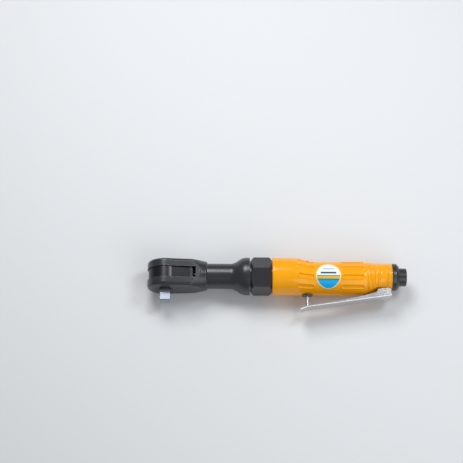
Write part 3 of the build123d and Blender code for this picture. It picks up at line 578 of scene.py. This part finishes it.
def drive_steel():
    """Satin chrome on the square, black oxide above its shoulder."""
    made = bpy.data.materials.get("Drive steel")
    if made:
        return made
    made, tree, shader = new_material("Drive steel")
    coords = add(tree, "TexCoord").outputs["Object"]
    height = add(tree, "SeparateXYZ", {0: coords}).outputs["Y"]
    square = add(tree, "MapRange", {"Value": height, "From Min": -0.0002,
                                    "From Max": -0.0004}).outputs[0]
    edges = use(tree, worn_edges_group(), {"Amount": 0.8})
    shade = mix(tree, edges.outputs["Mask"], opaque(colours().black), opaque(colours().bare))
    tree.links.new(mix(tree, square, shade, opaque(colours().square)),
                   shader.inputs["Base Color"])
    metal = math_node(tree, "MAXIMUM", square, edges.outputs["Mask"])
    tree.links.new(metal, shader.inputs["Metallic"])
    add_grain(tree, shader, {"Scale": 1500.0, "Roughness": 0.30, "Variation": 0.18,
                             "Depth": 0.22, "Smudges": 0.12})
    return made


def orange_enamel():
    """Glossy enamel with a faint orange peel."""
    made = bpy.data.materials.get("Orange enamel")
    if made:
        return made
    made, tree, shader = new_material("Orange enamel")
    coords = add(tree, "TexCoord").outputs["Object"]
    broad = add(tree, "TexNoise", {"Vector": coords, "Scale": 45.0, "Detail": 3.0}).outputs[0]
    tone = add(tree, "MapRange", {"Value": broad, "From Min": 0.35,
                                  "From Max": 0.65}).outputs[0]
    paint = mix(tree, tone, opaque(colours().enamel, 0.97), opaque(colours().enamel, 1.03))
    tree.links.new(paint, shader.inputs["Base Color"])
    add_grain(tree, shader, {"Scale": 420.0, "Roughness": 0.24, "Variation": 0.05,
                             "Depth": 0.30, "Smudges": 0.10})
    shader.inputs["Specular IOR Level"].default_value = 0.12
    shader.inputs["Coat Weight"].default_value = 0.6
    shader.inputs["Coat Roughness"].default_value = 0.09
    return made


def plated_steel():
    return surface("Plated steel", colours().plated, metallic=1.0, roughness=0.22,
                   variation=0.14, scale=700.0, depth=0.08, smudges=0.14)


def ground_steel():
    return surface("Ground steel", (0.52, 0.52, 0.53), metallic=1.0, roughness=0.28,
                   variation=0.15, scale=900.0, depth=0.06)


def spring_steel():
    return surface("Spring steel", (0.34, 0.34, 0.36), metallic=1.0, roughness=0.3)


def bronze():
    return surface("Bearing bronze", (0.58, 0.36, 0.16), metallic=1.0, roughness=0.36)


def cast_plate():
    return surface("Cast plate", (0.42, 0.42, 0.43), metallic=1.0, roughness=0.5,
                   variation=0.2, scale=1200.0, depth=0.3)


def vane_resin():
    return surface("Vane resin", (0.16, 0.07, 0.03), roughness=0.55, scale=1500.0)


def seal_rubber():
    return surface("Seal rubber", (0.014, 0.014, 0.015), roughness=0.62, scale=1800.0)


def screen_mesh():
    return surface("Strainer brass", (0.66, 0.50, 0.24), metallic=1.0, roughness=0.35)


def felt():
    return surface("Silencer felt", (0.33, 0.31, 0.28), roughness=0.95, variation=0.1,
                   scale=2600.0, depth=0.8)


def port_steel():
    return surface("Dark port steel", (0.022, 0.023, 0.026), roughness=0.32,
                   variation=0.12, scale=1300.0, depth=0.15, smudges=0.12, coat=0.2,
                   worn=colours().bare, wear=0.9)


def label_film():
    """Printed film: pale upper half with two rules, a gold band and a blue base."""
    made = bpy.data.materials.get("Label film")
    if made:
        return made
    made, tree, shader = new_material("Label film")
    coords = add(tree, "TexCoord").outputs["Object"]
    centre = Vector(LABEL_CENTRE) * MM
    moved = add(tree, "VectorMath", {0: coords, 1: centre},
                operation="SUBTRACT").outputs[0]
    scaled = add(tree, "VectorMath", {0: moved, "Scale": 1 / (LABEL_RADIUS * MM)},
                 operation="SCALE").outputs[0]
    parts = add(tree, "SeparateXYZ", {0: scaled})
    across, up = parts.outputs["X"], parts.outputs["Y"]
    radius = math_node(tree, "SQRT", math_node(
        tree, "ADD", math_node(tree, "MULTIPLY", across, across),
        math_node(tree, "MULTIPLY", up, up)))

    def step(value, edge, blur=0.01):
        """0 below the edge and 1 above it."""
        return add(tree, "MapRange", {"Value": value, "From Min": edge - blur,
                                      "From Max": edge + blur}).outputs[0]

    def bar(low, high, half_width):
        """1 inside a level bar across the label."""
        inside = math_node(tree, "SUBTRACT", step(up, low), step(up, high))
        width = math_node(tree, "SUBTRACT", 1.0,
                          step(math_node(tree, "ABSOLUTE", across), half_width))
        return math_node(tree, "MULTIPLY", inside, width)

    c = colours()
    fade = add(tree, "MapRange", {"Value": up, "From Min": 0.0, "From Max": 0.8}).outputs[0]
    colour = mix(tree, fade, opaque(c.label_sky), opaque(LABEL_TOP))
    ink = opaque(c.label_ink)
    colour = mix(tree, bar(0.54, 0.60, 0.42), colour, opaque(c.label_base))
    colour = mix(tree, bar(0.16, 0.30, 0.62), colour, ink)
    colour = mix(tree, math_node(tree, "SUBTRACT", 1.0, step(up, 0.02)), colour, ink)
    colour = mix(tree, bar(-0.26, -0.03, 2.0), colour, opaque(c.label_band))
    colour = mix(tree, math_node(tree, "SUBTRACT", 1.0, step(up, -0.32)), colour,
                 opaque(c.label_base))
    colour = mix(tree, step(radius, 0.93), colour, opaque(LABEL_RIM))
    tree.links.new(colour, shader.inputs["Base Color"])
    add_grain(tree, shader, {"Scale": 500.0, "Roughness": 0.28, "Variation": 0.05,
                             "Depth": 0.05, "Smudges": 0.08})
    shader.inputs["Specular IOR Level"].default_value = 0.2
    shader.inputs["Coat Weight"].default_value = 0.15
    shader.inputs["Coat Roughness"].default_value = 0.1
    return made


FINISHES = {
    "black_steel": black_steel, "yoke_steel": yoke_steel, "drive_steel": drive_steel,
    "orange_enamel": orange_enamel, "plated_steel": plated_steel,
    "ground_steel": ground_steel, "spring_steel": spring_steel, "bronze": bronze,
    "cast_plate": cast_plate, "vane_resin": vane_resin, "seal_rubber": seal_rubber,
    "screen_mesh": screen_mesh, "felt": felt, "port_steel": port_steel,
    "label_film": label_film,
}
# Another slot name for each of these finishes
SLOTS = {"yoke_steel": "ground_steel", "port_steel": "black_steel"}

# Finish of each CAD node that is shown as it is
NODE_FINISHES = {
    "drive_bushing": "ground_steel", "crank_shaft": "ground_steel",
    "crank_bush_front": "bronze", "crank_bush_rear": "bronze",
    "planet_pins": "ground_steel", "planet_gear_1": "ground_steel",
    "planet_gear_2": "ground_steel", "planet_gear_3": "ground_steel",
    "ring_gear": "ground_steel", "sun_pinion": "ground_steel",
    "front_end_plate": "cast_plate", "rear_end_plate": "cast_plate",
    "motor_cylinder": "cast_plate", "rotor": "ground_steel",
    "rotor_vanes": "vane_resin", "rear_gasket": "seal_rubber",
    "front_bearing_balls": "ground_steel", "front_bearing_inner_race": "ground_steel",
    "front_bearing_outer_race": "ground_steel", "rear_bearing_balls": "ground_steel",
    "rear_bearing_inner_race": "ground_steel", "rear_bearing_outer_race": "ground_steel",
    "pawl": "ground_steel", "pawl_pin": "ground_steel", "detent_ball": "ground_steel",
    "selector_plunger": "ground_steel", "selector_spring": "spring_steel",
    "throttle_valve": "ground_steel", "valve_seal": "seal_rubber",
    "bushing_o_ring": "seal_rubber", "inlet_screen": "screen_mesh",
    "exhaust_silencer": "felt", "round_label": "label_film",
}


# ------------------------------------------------------------------ pieces
class AIRRATCHET_OT_inner_parts(bpy.types.Operator):
    """Finish the gears, motor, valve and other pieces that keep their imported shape"""

    bl_idname = "airratchet.inner_parts"
    bl_label = "Inner Parts"

    def execute(self, context):
        for node, finish in NODE_FINISHES.items():
            piece = NODES[node]
            piece.data.materials.clear()
            piece.data.materials.append(FINISHES[finish]())
        return {"FINISHED"}


def ease(start, end, share):
    """Value between start and end with a soft start and finish."""
    return start + (end - start) * share * share * (3 - 2 * share)


def housing_section(x):
    """Radius of the housing at x and how far its middle is above the tool's axis."""
    if x <= ROUND_END:
        return FRONT_RADIUS, 0.0
    if x <= GRIP_START:
        share = (x - ROUND_END) / (GRIP_START - ROUND_END)
        return ease(FRONT_RADIUS, GRIP_RADIUS, share), ease(0.0, GRIP_LIFT, share)
    if x <= GRIP_END:
        return GRIP_RADIUS, GRIP_LIFT
    if x <= TAIL_START:
        share = (x - GRIP_END) / (TAIL_START - GRIP_END)
        return ease(GRIP_RADIUS, TAIL_RADIUS, share), ease(GRIP_LIFT, 0.0, share)
    return TAIL_RADIUS, 0.0


def roll_of(centre):
    """Degrees round the housing from either side (0) to the lever (90) or away from it."""
    x = centre.x / MM
    lift = housing_section(x)[1]
    return math.degrees(math.atan2(AXIS_Y + lift - centre.y / MM, abs(centre.z / MM)))


# Finger pad and grip pockets: rows of faces along the housing in millimetres, and rolls
# round it in degrees
PAD_ROWS = (194.4, 195.4, 196.1, 197.7, 199.1, 200.7, 202.6, 204.3, 206.3, 209.0, 211.7,
            213.9, 215.7, 216.5, 217.0)
PAD_RIBS = ((196.1, 197.7), (199.1, 200.7), (204.3, 206.3), (213.9, 215.7))
PAD_ROLLS = (-30.0, 60.0)
FACE_LENGTH = 1.5
FACE_COUNT = 59
FACE_ROLL = 3.75
POCKET_ROWS = ((127.0, 143.5), (169.0, 191.5))
POCKET_ROLLS = ((-67.5, -48.75), (-33.75, -15.0), (0.0, 18.75), (33.75, 52.5))


class AIRRATCHET_OT_motor_housing(bpy.types.Operator):
    """Model the enamelled motor housing with its grip pockets, finger pad and lever lug"""

    bl_idname = "airratchet.motor_housing"
    bl_label = "Motor Housing"

    def execute(self, context):
        s = sizes()
        rows = [FRONT + 3.0 + FACE_LENGTH * i for i in range(FACE_COUNT)]
        rows += [*PAD_ROWS, 217.7]
        stations = [(SNOUT_START, SNOUT_RADIUS - 0.5), (SNOUT_START + 0.01, SNOUT_RADIUS),
                    (SNOUT_START + 0.5, SNOUT_RADIUS), (FRONT - 0.3, SNOUT_RADIUS),
                    (FRONT, SNOUT_RADIUS), (FRONT, SNOUT_RADIUS + 0.4), (FRONT, 17.2),
                    (FRONT + 0.25, 17.85), (FRONT + 0.8, 18.2), (FRONT + 1.6, FRONT_RADIUS)]
        stations += [(x, *housing_section(x)) for x in rows]
        stations += [(REAR - 0.35, TAIL_RADIUS - 0.1), (REAR, TAIL_RADIUS - 0.5),
                     (REAR, TAIL_RADIUS - 1.0), (REAR, 6.0)]
        shell = turned("grip_housing", "X", stations, base=(0, AXIS_Y, 0))

        open_mesh(shell)
        # Raised pad with finger ribs on both sides of the tail, its front end rounded

        def in_pad(face, low, high, margin):
            middle = face.calc_center_median()
            x, roll = middle.x / MM, roll_of(middle)
            if x < PAD_ROWS[1]:
                margin += 3 * FACE_ROLL
            elif x < PAD_ROWS[2]:
                margin += FACE_ROLL
            return low < x < high and PAD_ROLLS[0] + margin < roll < PAD_ROLLS[1] - margin

        pick(shell, "faces", lambda f: in_pad(f, PAD_ROWS[0], PAD_ROWS[-1], 0.0))
        bpy.ops.mesh.inset(thickness=0.00025, depth=s.pad_rise)
        for low, high in PAD_RIBS:
            pick(shell, "faces", lambda f: in_pad(f, low, high, FACE_ROLL))
            bpy.ops.mesh.inset(thickness=0.0002, depth=s.rib_rise)
        # Pockets with raised rims along the grip
        for low, high in POCKET_ROWS:
            for roll_low, roll_high in POCKET_ROLLS:
                def from_edges(face):
                    """Faces between the middle of this one and the pocket's end and side."""
                    middle = face.calc_center_median()
                    x, roll = middle.x / MM, roll_of(middle)
                    return (min(x - low, high - x) / FACE_LENGTH,
                            min(roll - roll_low, roll_high - roll) / FACE_ROLL)

                # A corner face is split, and only its inner half is in the pocket
                pick(shell, "faces", lambda f: all(0 < each < 1 for each in from_edges(f)))
                bpy.ops.mesh.poke()
                pick(shell, "faces", lambda f: (
                    min(from_edges(f)) > 0 and sum(from_edges(f)) > 1))
                bpy.ops.mesh.inset(thickness=0.0003, depth=s.pocket_rim_height)
                bpy.ops.mesh.inset(thickness=s.pocket_rim_width, depth=0.0)
                bpy.ops.mesh.inset(thickness=0.0003,
                                   depth=-s.pocket_rim_height - s.pocket_depth)
        face_out()
        close_mesh()
        apply(shell, "SUBSURF", levels=1, render_levels=1)

        # Lug between the lever's ears
        bpy.ops.object.select_all(action="DESELECT")
        lug_low, lug_high = PIVOT[1] - LUG_LENGTH / 2, AXIS_Y - 9.2
        bpy.ops.mesh.primitive_cube_add(
            size=MM, location=(PIVOT[0] * MM, (lug_low + lug_high) / 2 * MM, 0),
            scale=(LUG_LENGTH, lug_high - lug_low, LUG_WIDTH))
        lug = settled()
        open_mesh(lug, "EDGE")
        pick(lug, "edges", lambda e: (
            abs(e.verts[0].co.z - e.verts[1].co.z) > 5 * MM
            and e.verts[0].co.y < 0))
        bpy.ops.mesh.bevel(offset=LUG_ROUND * MM, segments=10, affect="EDGES")
        pick(lug, "edges", lambda e: e.calc_face_angle(0) > 1.0)
        bpy.ops.mesh.bevel(offset=LUG_EDGE * MM, segments=3, affect="EDGES")
        close_mesh()
        combine(shell, lug, "UNION")

        # Bores: motor, inlet, air and exhaust passages, valve, and the lever pin's hole
        axis = (0, AXIS_Y, 0)
        bottom = AXIS_Y + GRIP_LIFT - GRIP_RADIUS
        top = AXIS_Y + GRIP_LIFT + GRIP_RADIUS
        valve = (VALVE_X, 0, 0)
        exhaust = [(PASSAGE_START, EXHAUST_RADIUS), (EXHAUST_END, EXHAUST_RADIUS)]
        tools = [
            ("X", [(SNOUT_START - 1, MOTOR_BORE_RADIUS),
                   (MOTOR_BORE_END, MOTOR_BORE_RADIUS)], axis),
            ("X", [(INLET_BORE_START, INLET_BORE_RADIUS), (REAR + 1, INLET_BORE_RADIUS)],
             axis),
            ("X", [(VALVE_X, AIR_RADIUS), (INLET_BORE_START + 1, AIR_RADIUS)], axis),
            ("X", exhaust, (0, AXIS_Y, EXHAUST_SPREAD)),
            ("X", exhaust, (0, AXIS_Y, -EXHAUST_SPREAD)),
            ("X", [(PASSAGE_START, FEED_RADIUS), (VALVE_X, FEED_RADIUS)],
             (0, VALVE_SEAT - 2.2, 0)),
            ("Y", [(VALVE_SEAT, PLUG_RADIUS), (top - 0.35, PLUG_RADIUS),
                   (top + 0.4, PLUG_MOUTH_RADIUS), (top + 3, PLUG_MOUTH_RADIUS)], valve),
            ("Y", [(VALVE_SEAT - 5.5, STEM_RADIUS), (VALVE_SEAT + 1, STEM_RADIUS)], valve),
            ("Y", [(bottom - 6, BUSHING_RADIUS), (VALVE_SEAT - 4.5, BUSHING_RADIUS)], valve),
        ]
        for along, bore, base in tools:
            combine(shell, turned("bore", along, bore, 48, base))
        chamber = turned("chamber", "X", [
            (CHAMBER_START, CHAMBER_RADIUS), (REAR - 0.3, CHAMBER_RADIUS),
            (REAR + 0.2, CHAMBER_RADIUS + 0.5), (REAR + 1, CHAMBER_RADIUS + 0.5)], 96, axis)
        hub = turned("hub", "X", [(211, HUB_RADIUS), (REAR + 2, HUB_RADIUS)], 96, axis)
        combine(chamber, hub)
        combine(shell, chamber)
        bpy.ops.object.select_all(action="DESELECT")
        bpy.ops.mesh.primitive_cylinder_add(
            vertices=32, radius=PIN_HOLE_RADIUS * MM, depth=30 * MM,
            location=(PIVOT[0] * MM, PIVOT[1] * MM, 0))
        combine(shell, settled())
        smooth(shell, 38)
        place(shell, "housing", "orange_enamel", "orange_enamel", "motor_housing")
        return {"FINISHED"}


class AIRRATCHET_OT_throttle_lever(bpy.types.Operator):
    """Model the pressed throttle lever with rounded folds, and its pin"""

    bl_idname = "airratchet.throttle_lever"
    bl_label = "Throttle Lever"

    def execute(self, context):
        s = sizes()
        lever = copy_node("throttle_lever", "pressed_lever")
        open_mesh(lever, "EDGE")

        def outer_fold(edge):
            """An outer edge between the lever's plate and one of its folded sides."""
            if len(edge.link_faces) != 2:
                return False
            one, two = sorted(edge.link_faces, key=lambda f: abs(f.normal.z))
            return (abs(two.normal.z) > 0.9 and abs(one.normal.z) < 0.1
                    and one.normal.y < -0.5 and edge.is_convex
                    and abs(edge.verts[0].co.z) > 7.4 * MM)

        if not pick(lever, "edges", outer_fold):
            raise RuntimeError("the lever's folds were not found")
        bpy.ops.mesh.bevel(offset=s.lever_bend, segments=5, affect="EDGES")
        close_mesh()
        round_edges(lever, FINE_EDGE, 2, 40)
        place(lever, "lever", "plated_steel", "plated_steel", "throttle_lever")
        rounded_node("lever_pin", "housing", "plated_steel", SMALL_EDGE, 2)
        return {"FINISHED"}


class AIRRATCHET_OT_ratchet_head(bpy.types.Operator):
    """Round the edges of the forked head, its yoke and the clamp nut, and ramp the barrel"""

    bl_idname = "airratchet.ratchet_head"
    bl_label = "Ratchet Head"

    def execute(self, context):
        width = sizes().steel_rounding
        head = copy_node("ratchet_housing", "ratchet_housing_finished")
        round_edges(head, width)
        # A ramp from each arm's flat face up onto the barrel, cut by a three-sided prism
        for turn in (1, -1):
            bpy.ops.object.select_all(action="DESELECT")
            bpy.ops.mesh.primitive_cylinder_add(
                vertices=3, radius=RAMP_SIDE / math.sqrt(3) * MM, depth=RAMP_WIDTH * MM,
                rotation=(0, 0, -math.pi / 2), location=Vector((
                    BARREL_START - RAMP_LEAD + RAMP_SIDE / math.sqrt(12),
                    AXIS_Y + turn * (HEAD_THICKNESS + RAMP_SIDE) / 2, 0)) * MM)
            combine(head, settled())
        even_shading(head)
        place(head, "housing", "black_steel", "black_steel", "ratchet_housing")
        rounded_node("ratchet_yoke", "yoke", "yoke_steel", width * 0.5, 2)
        rounded_node("clamp_nut", "housing", "black_steel", width * 1.25)
        return {"FINISHED"}


class AIRRATCHET_OT_drive(bpy.types.Operator):
    """Round the edges of the drive anvil, knob, washer and ring, and fit the ball's spring"""

    bl_idname = "airratchet.drive"
    bl_label = "Square Drive"

    def execute(self, context):
        rounded_node("drive_anvil", "anvil", "drive_steel", SMALL_EDGE)
        rounded_node("reverse_knob", "reverser", "black_steel", SMALL_EDGE)
        rounded_node("thrust_washer", "housing", "ground_steel", 0.00012, 2)
        rounded_node("retaining_ring", "housing", "spring_steel", 0.00015, 2)
        working_spring("detent_spring", "anvil")
        return {"FINISHED"}


class AIRRATCHET_OT_inlet(bpy.types.Operator):
    """Finish the air inlet, its thread and the exhaust ring"""

    bl_idname = "airratchet.inlet"
    bl_label = "Air Inlet"

    def execute(self, context):
        s = sizes()
        rounded_node("air_inlet", "housing", "port_steel", SMALL_EDGE)
        self.exhaust_ring()
        # Thread: a closed ridge wound along the bore
        bpy.ops.object.select_all(action="DESELECT")
        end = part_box("air_inlet")[1].x
        bpy.ops.mesh.primitive_circle_add(
            vertices=3, radius=THREAD_RIDGE * MM, fill_type="NOTHING",
            location=(end - THREAD_LENGTH * MM, (AXIS_Y + THREAD_RADIUS) * MM, 0))
        thread = settled()
        thread.name = thread.data.name = "inlet_thread"
        only(thread)
        bpy.context.scene.cursor.location = (0, AXIS_Y * MM, 0)
        bpy.ops.object.origin_set(type="ORIGIN_CURSOR")
        apply(thread, "SCREW", axis="X", steps=48, render_steps=48,
              screw_offset=s.thread_pitch, iterations=s.thread_turns,
              use_merge_vertices=False)
        bpy.ops.object.transform_apply(location=True, rotation=True, scale=True)
        bpy.context.scene.cursor.location = (0, 0, 0)
        open_mesh(thread, "VERT")
        bpy.ops.mesh.select_all(action="SELECT")
        bpy.ops.mesh.remove_doubles(threshold=1e-6)
        bpy.ops.mesh.select_all(action="SELECT")
        bpy.ops.mesh.fill_holes(sides=3)
        face_out()
        close_mesh()
        smooth(thread, 40)
        place(thread, "housing", "port_steel", "black_steel")
        return {"FINISHED"}

    def exhaust_ring(self):
        """The turning ring behind the housing, with its exhaust slots on one side."""
        low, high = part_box("exhaust_ring")
        start, end = low.x / MM, high.x / MM
        axis = (0, AXIS_Y, 0)
        ring = turned("exhaust_deflector", "X", [
            (start, 12.8), (start + 0.3, TAIL_RADIUS), (start + RING_WALL_END, TAIL_RADIUS),
            (start + RING_WALL_END + 0.4, TAIL_RADIUS - 0.15), (end - 0.2, RING_END_RADIUS),
            (end, RING_END_RADIUS - 0.25)], 128, axis)
        combine(ring, turned("bore", "X", [(start - 1, RING_BORE_RADIUS),
                                           (end + 1, RING_BORE_RADIUS)], 96, axis))
        groove = turned("groove", "X", [(start - 1, CHAMBER_RADIUS),
                                        (start + RING_WALL_END, CHAMBER_RADIUS)], 128, axis)
        combine(groove, turned("hub", "X", [(start - 2, HUB_RADIUS), (end, HUB_RADIUS)],
                               96, axis))
        combine(ring, groove)
        middle = (RING_BORE_RADIUS + TAIL_RADIUS) / 2
        for slot in range(SLOT_COUNT):
            roll = math.radians(SLOT_PITCH * (slot - (SLOT_COUNT - 1) / 2))
            bpy.ops.object.select_all(action="DESELECT")
            bpy.ops.mesh.primitive_cube_add(
                size=MM, scale=SLOT_SIZE, rotation=(roll, 0, 0),
                location=Vector((end, AXIS_Y + middle * math.cos(roll),
                                 middle * math.sin(roll))) * MM)
            cutter = settled()
            open_mesh(cutter, "EDGE")
            pick(cutter, "edges", lambda e: abs((e.verts[0].co - e.verts[1].co).x) > 5 * MM)
            bpy.ops.mesh.bevel(offset=SLOT_ROUND * MM, segments=5, affect="EDGES")
            close_mesh()
            combine(ring, cutter)
        smooth(ring, 30)
        place(ring, "deflector", "black_steel", "black_steel", "exhaust_ring")


class AIRRATCHET_OT_throttle(bpy.types.Operator):
    """Round the edges of the throttle plug and bushing, and fit the valve's spring"""

    bl_idname = "airratchet.throttle"
    bl_label = "Throttle Plug and Bushing"

    def execute(self, context):
        rounded_node("throttle_plug", "housing", "port_steel", FINE_EDGE, 2)
        rounded_node("throttle_bushing", "housing", "port_steel", FINE_EDGE, 2)
        working_spring("throttle_spring", "housing")
        return {"FINISHED"}


# ------------------------------------------------------------------ stage
def area_lamp(name, location, target, size, power, tint):
    """A square softbox that faces the target."""
    lamp = bpy.data.lights.new(name, "AREA")
    lamp.size, lamp.energy, lamp.color = size, power, tint
    piece = bpy.data.objects.new(name, lamp)
    bpy.context.scene.collection.objects.link(piece)
    piece.location = location
    aim = Vector(target) - Vector(location)
    piece.rotation_euler = aim.to_track_quat("-Z", "Y").to_euler()


class AIRRATCHET_OT_stage(bpy.types.Operator):
    """Set the pale floor, the soft studio light and the camera"""

    bl_idname = "airratchet.stage"
    bl_label = "Studio Stage"

    def execute(self, context):
        scene = context.scene
        low, high = CAD_BOX
        centre = (low + high) / 2
        bpy.ops.object.select_all(action="DESELECT")
        bpy.ops.mesh.primitive_plane_add(size=8.0, location=(centre.x, centre.y,
                                                             low.z - 0.0002))
        floor = bpy.context.object
        floor.name = floor.data.name = "studio_floor"
        material, _, shader = new_material("Studio floor")
        shader.inputs["Base Color"].default_value = opaque(colours().floor)
        shader.inputs["Roughness"].default_value = 0.9
        shader.inputs["Specular IOR Level"].default_value = 0.1
        floor.data.materials.append(material)

        world = bpy.data.worlds.new("Studio")
        world.use_nodes = True
        background = world.node_tree.nodes["Background"]
        background.inputs["Color"].default_value = opaque(WORLD_COLOUR)
        background.inputs["Strength"].default_value = WORLD_STRENGTH
        scene.world = world

        for name, (across, along, height), size, power, tint in SOFTBOXES:
            area_lamp(name, (centre.x + across, centre.y + along, height), centre, size,
                      power, tint)

        elevation = math.radians(CAMERA_ELEVATION)
        back = Vector((0, -math.cos(elevation), math.sin(elevation)))
        level = Quaternion(back, math.radians(CAMERA_ROLL))
        camera = bpy.data.cameras.new("Camera")
        camera.angle = 2 * math.atan(CAMERA_HALF_VIEW / CAMERA_DISTANCE)
        camera.clip_start, camera.clip_end = 0.01, 50
        viewer = bpy.data.objects.new("Camera", camera)
        scene.collection.objects.link(viewer)
        viewer.rotation_mode = "QUATERNION"
        viewer.location = Vector(CAMERA_AIM) + back * CAMERA_DISTANCE
        viewer.rotation_quaternion = level @ (-back).to_track_quat("-Z", "Y")
        scene.camera = viewer
        scene.view_settings.view_transform = "Standard"
        return {"FINISHED"}


# ------------------------------------------------------------------ add-on
class AIRRATCHET_PT_panel(bpy.types.Panel):
    """Lists the pieces of the air ratchet"""

    bl_label = "Air Ratchet"
    bl_idname = "AIRRATCHET_PT_panel"
    bl_space_type = "VIEW_3D"
    bl_region_type = "UI"
    bl_category = "Air Ratchet"

    def draw(self, context):
        layout = self.layout
        for group in (context.scene.air_ratchet_sizes, context.scene.air_ratchet_colours):
            box = layout.box()
            for key in group.__annotations__:
                box.prop(group, key)
        for operator in OPERATORS:
            layout.operator(operator.bl_idname)


OPERATORS = (
    AIRRATCHET_OT_inner_parts, AIRRATCHET_OT_motor_housing, AIRRATCHET_OT_throttle_lever,
    AIRRATCHET_OT_ratchet_head, AIRRATCHET_OT_drive, AIRRATCHET_OT_inlet,
    AIRRATCHET_OT_throttle, AIRRATCHET_OT_stage,
)
CLASSES = (AirRatchetSizes, AirRatchetColours, *OPERATORS, AIRRATCHET_PT_panel)


def register():
    for each in CLASSES:
        bpy.utils.register_class(each)
    bpy.types.Scene.air_ratchet_sizes = PointerProperty(type=AirRatchetSizes)
    bpy.types.Scene.air_ratchet_colours = PointerProperty(type=AirRatchetColours)


def unregister():
    del bpy.types.Scene.air_ratchet_colours
    del bpy.types.Scene.air_ratchet_sizes
    for each in reversed(CLASSES):
        bpy.utils.unregister_class(each)


def main():
    register()
    for operator in OPERATORS:
        family, name = operator.bl_idname.split(".")
        getattr(getattr(bpy.ops, family), name)()


if __name__ == "__main__":
    main()
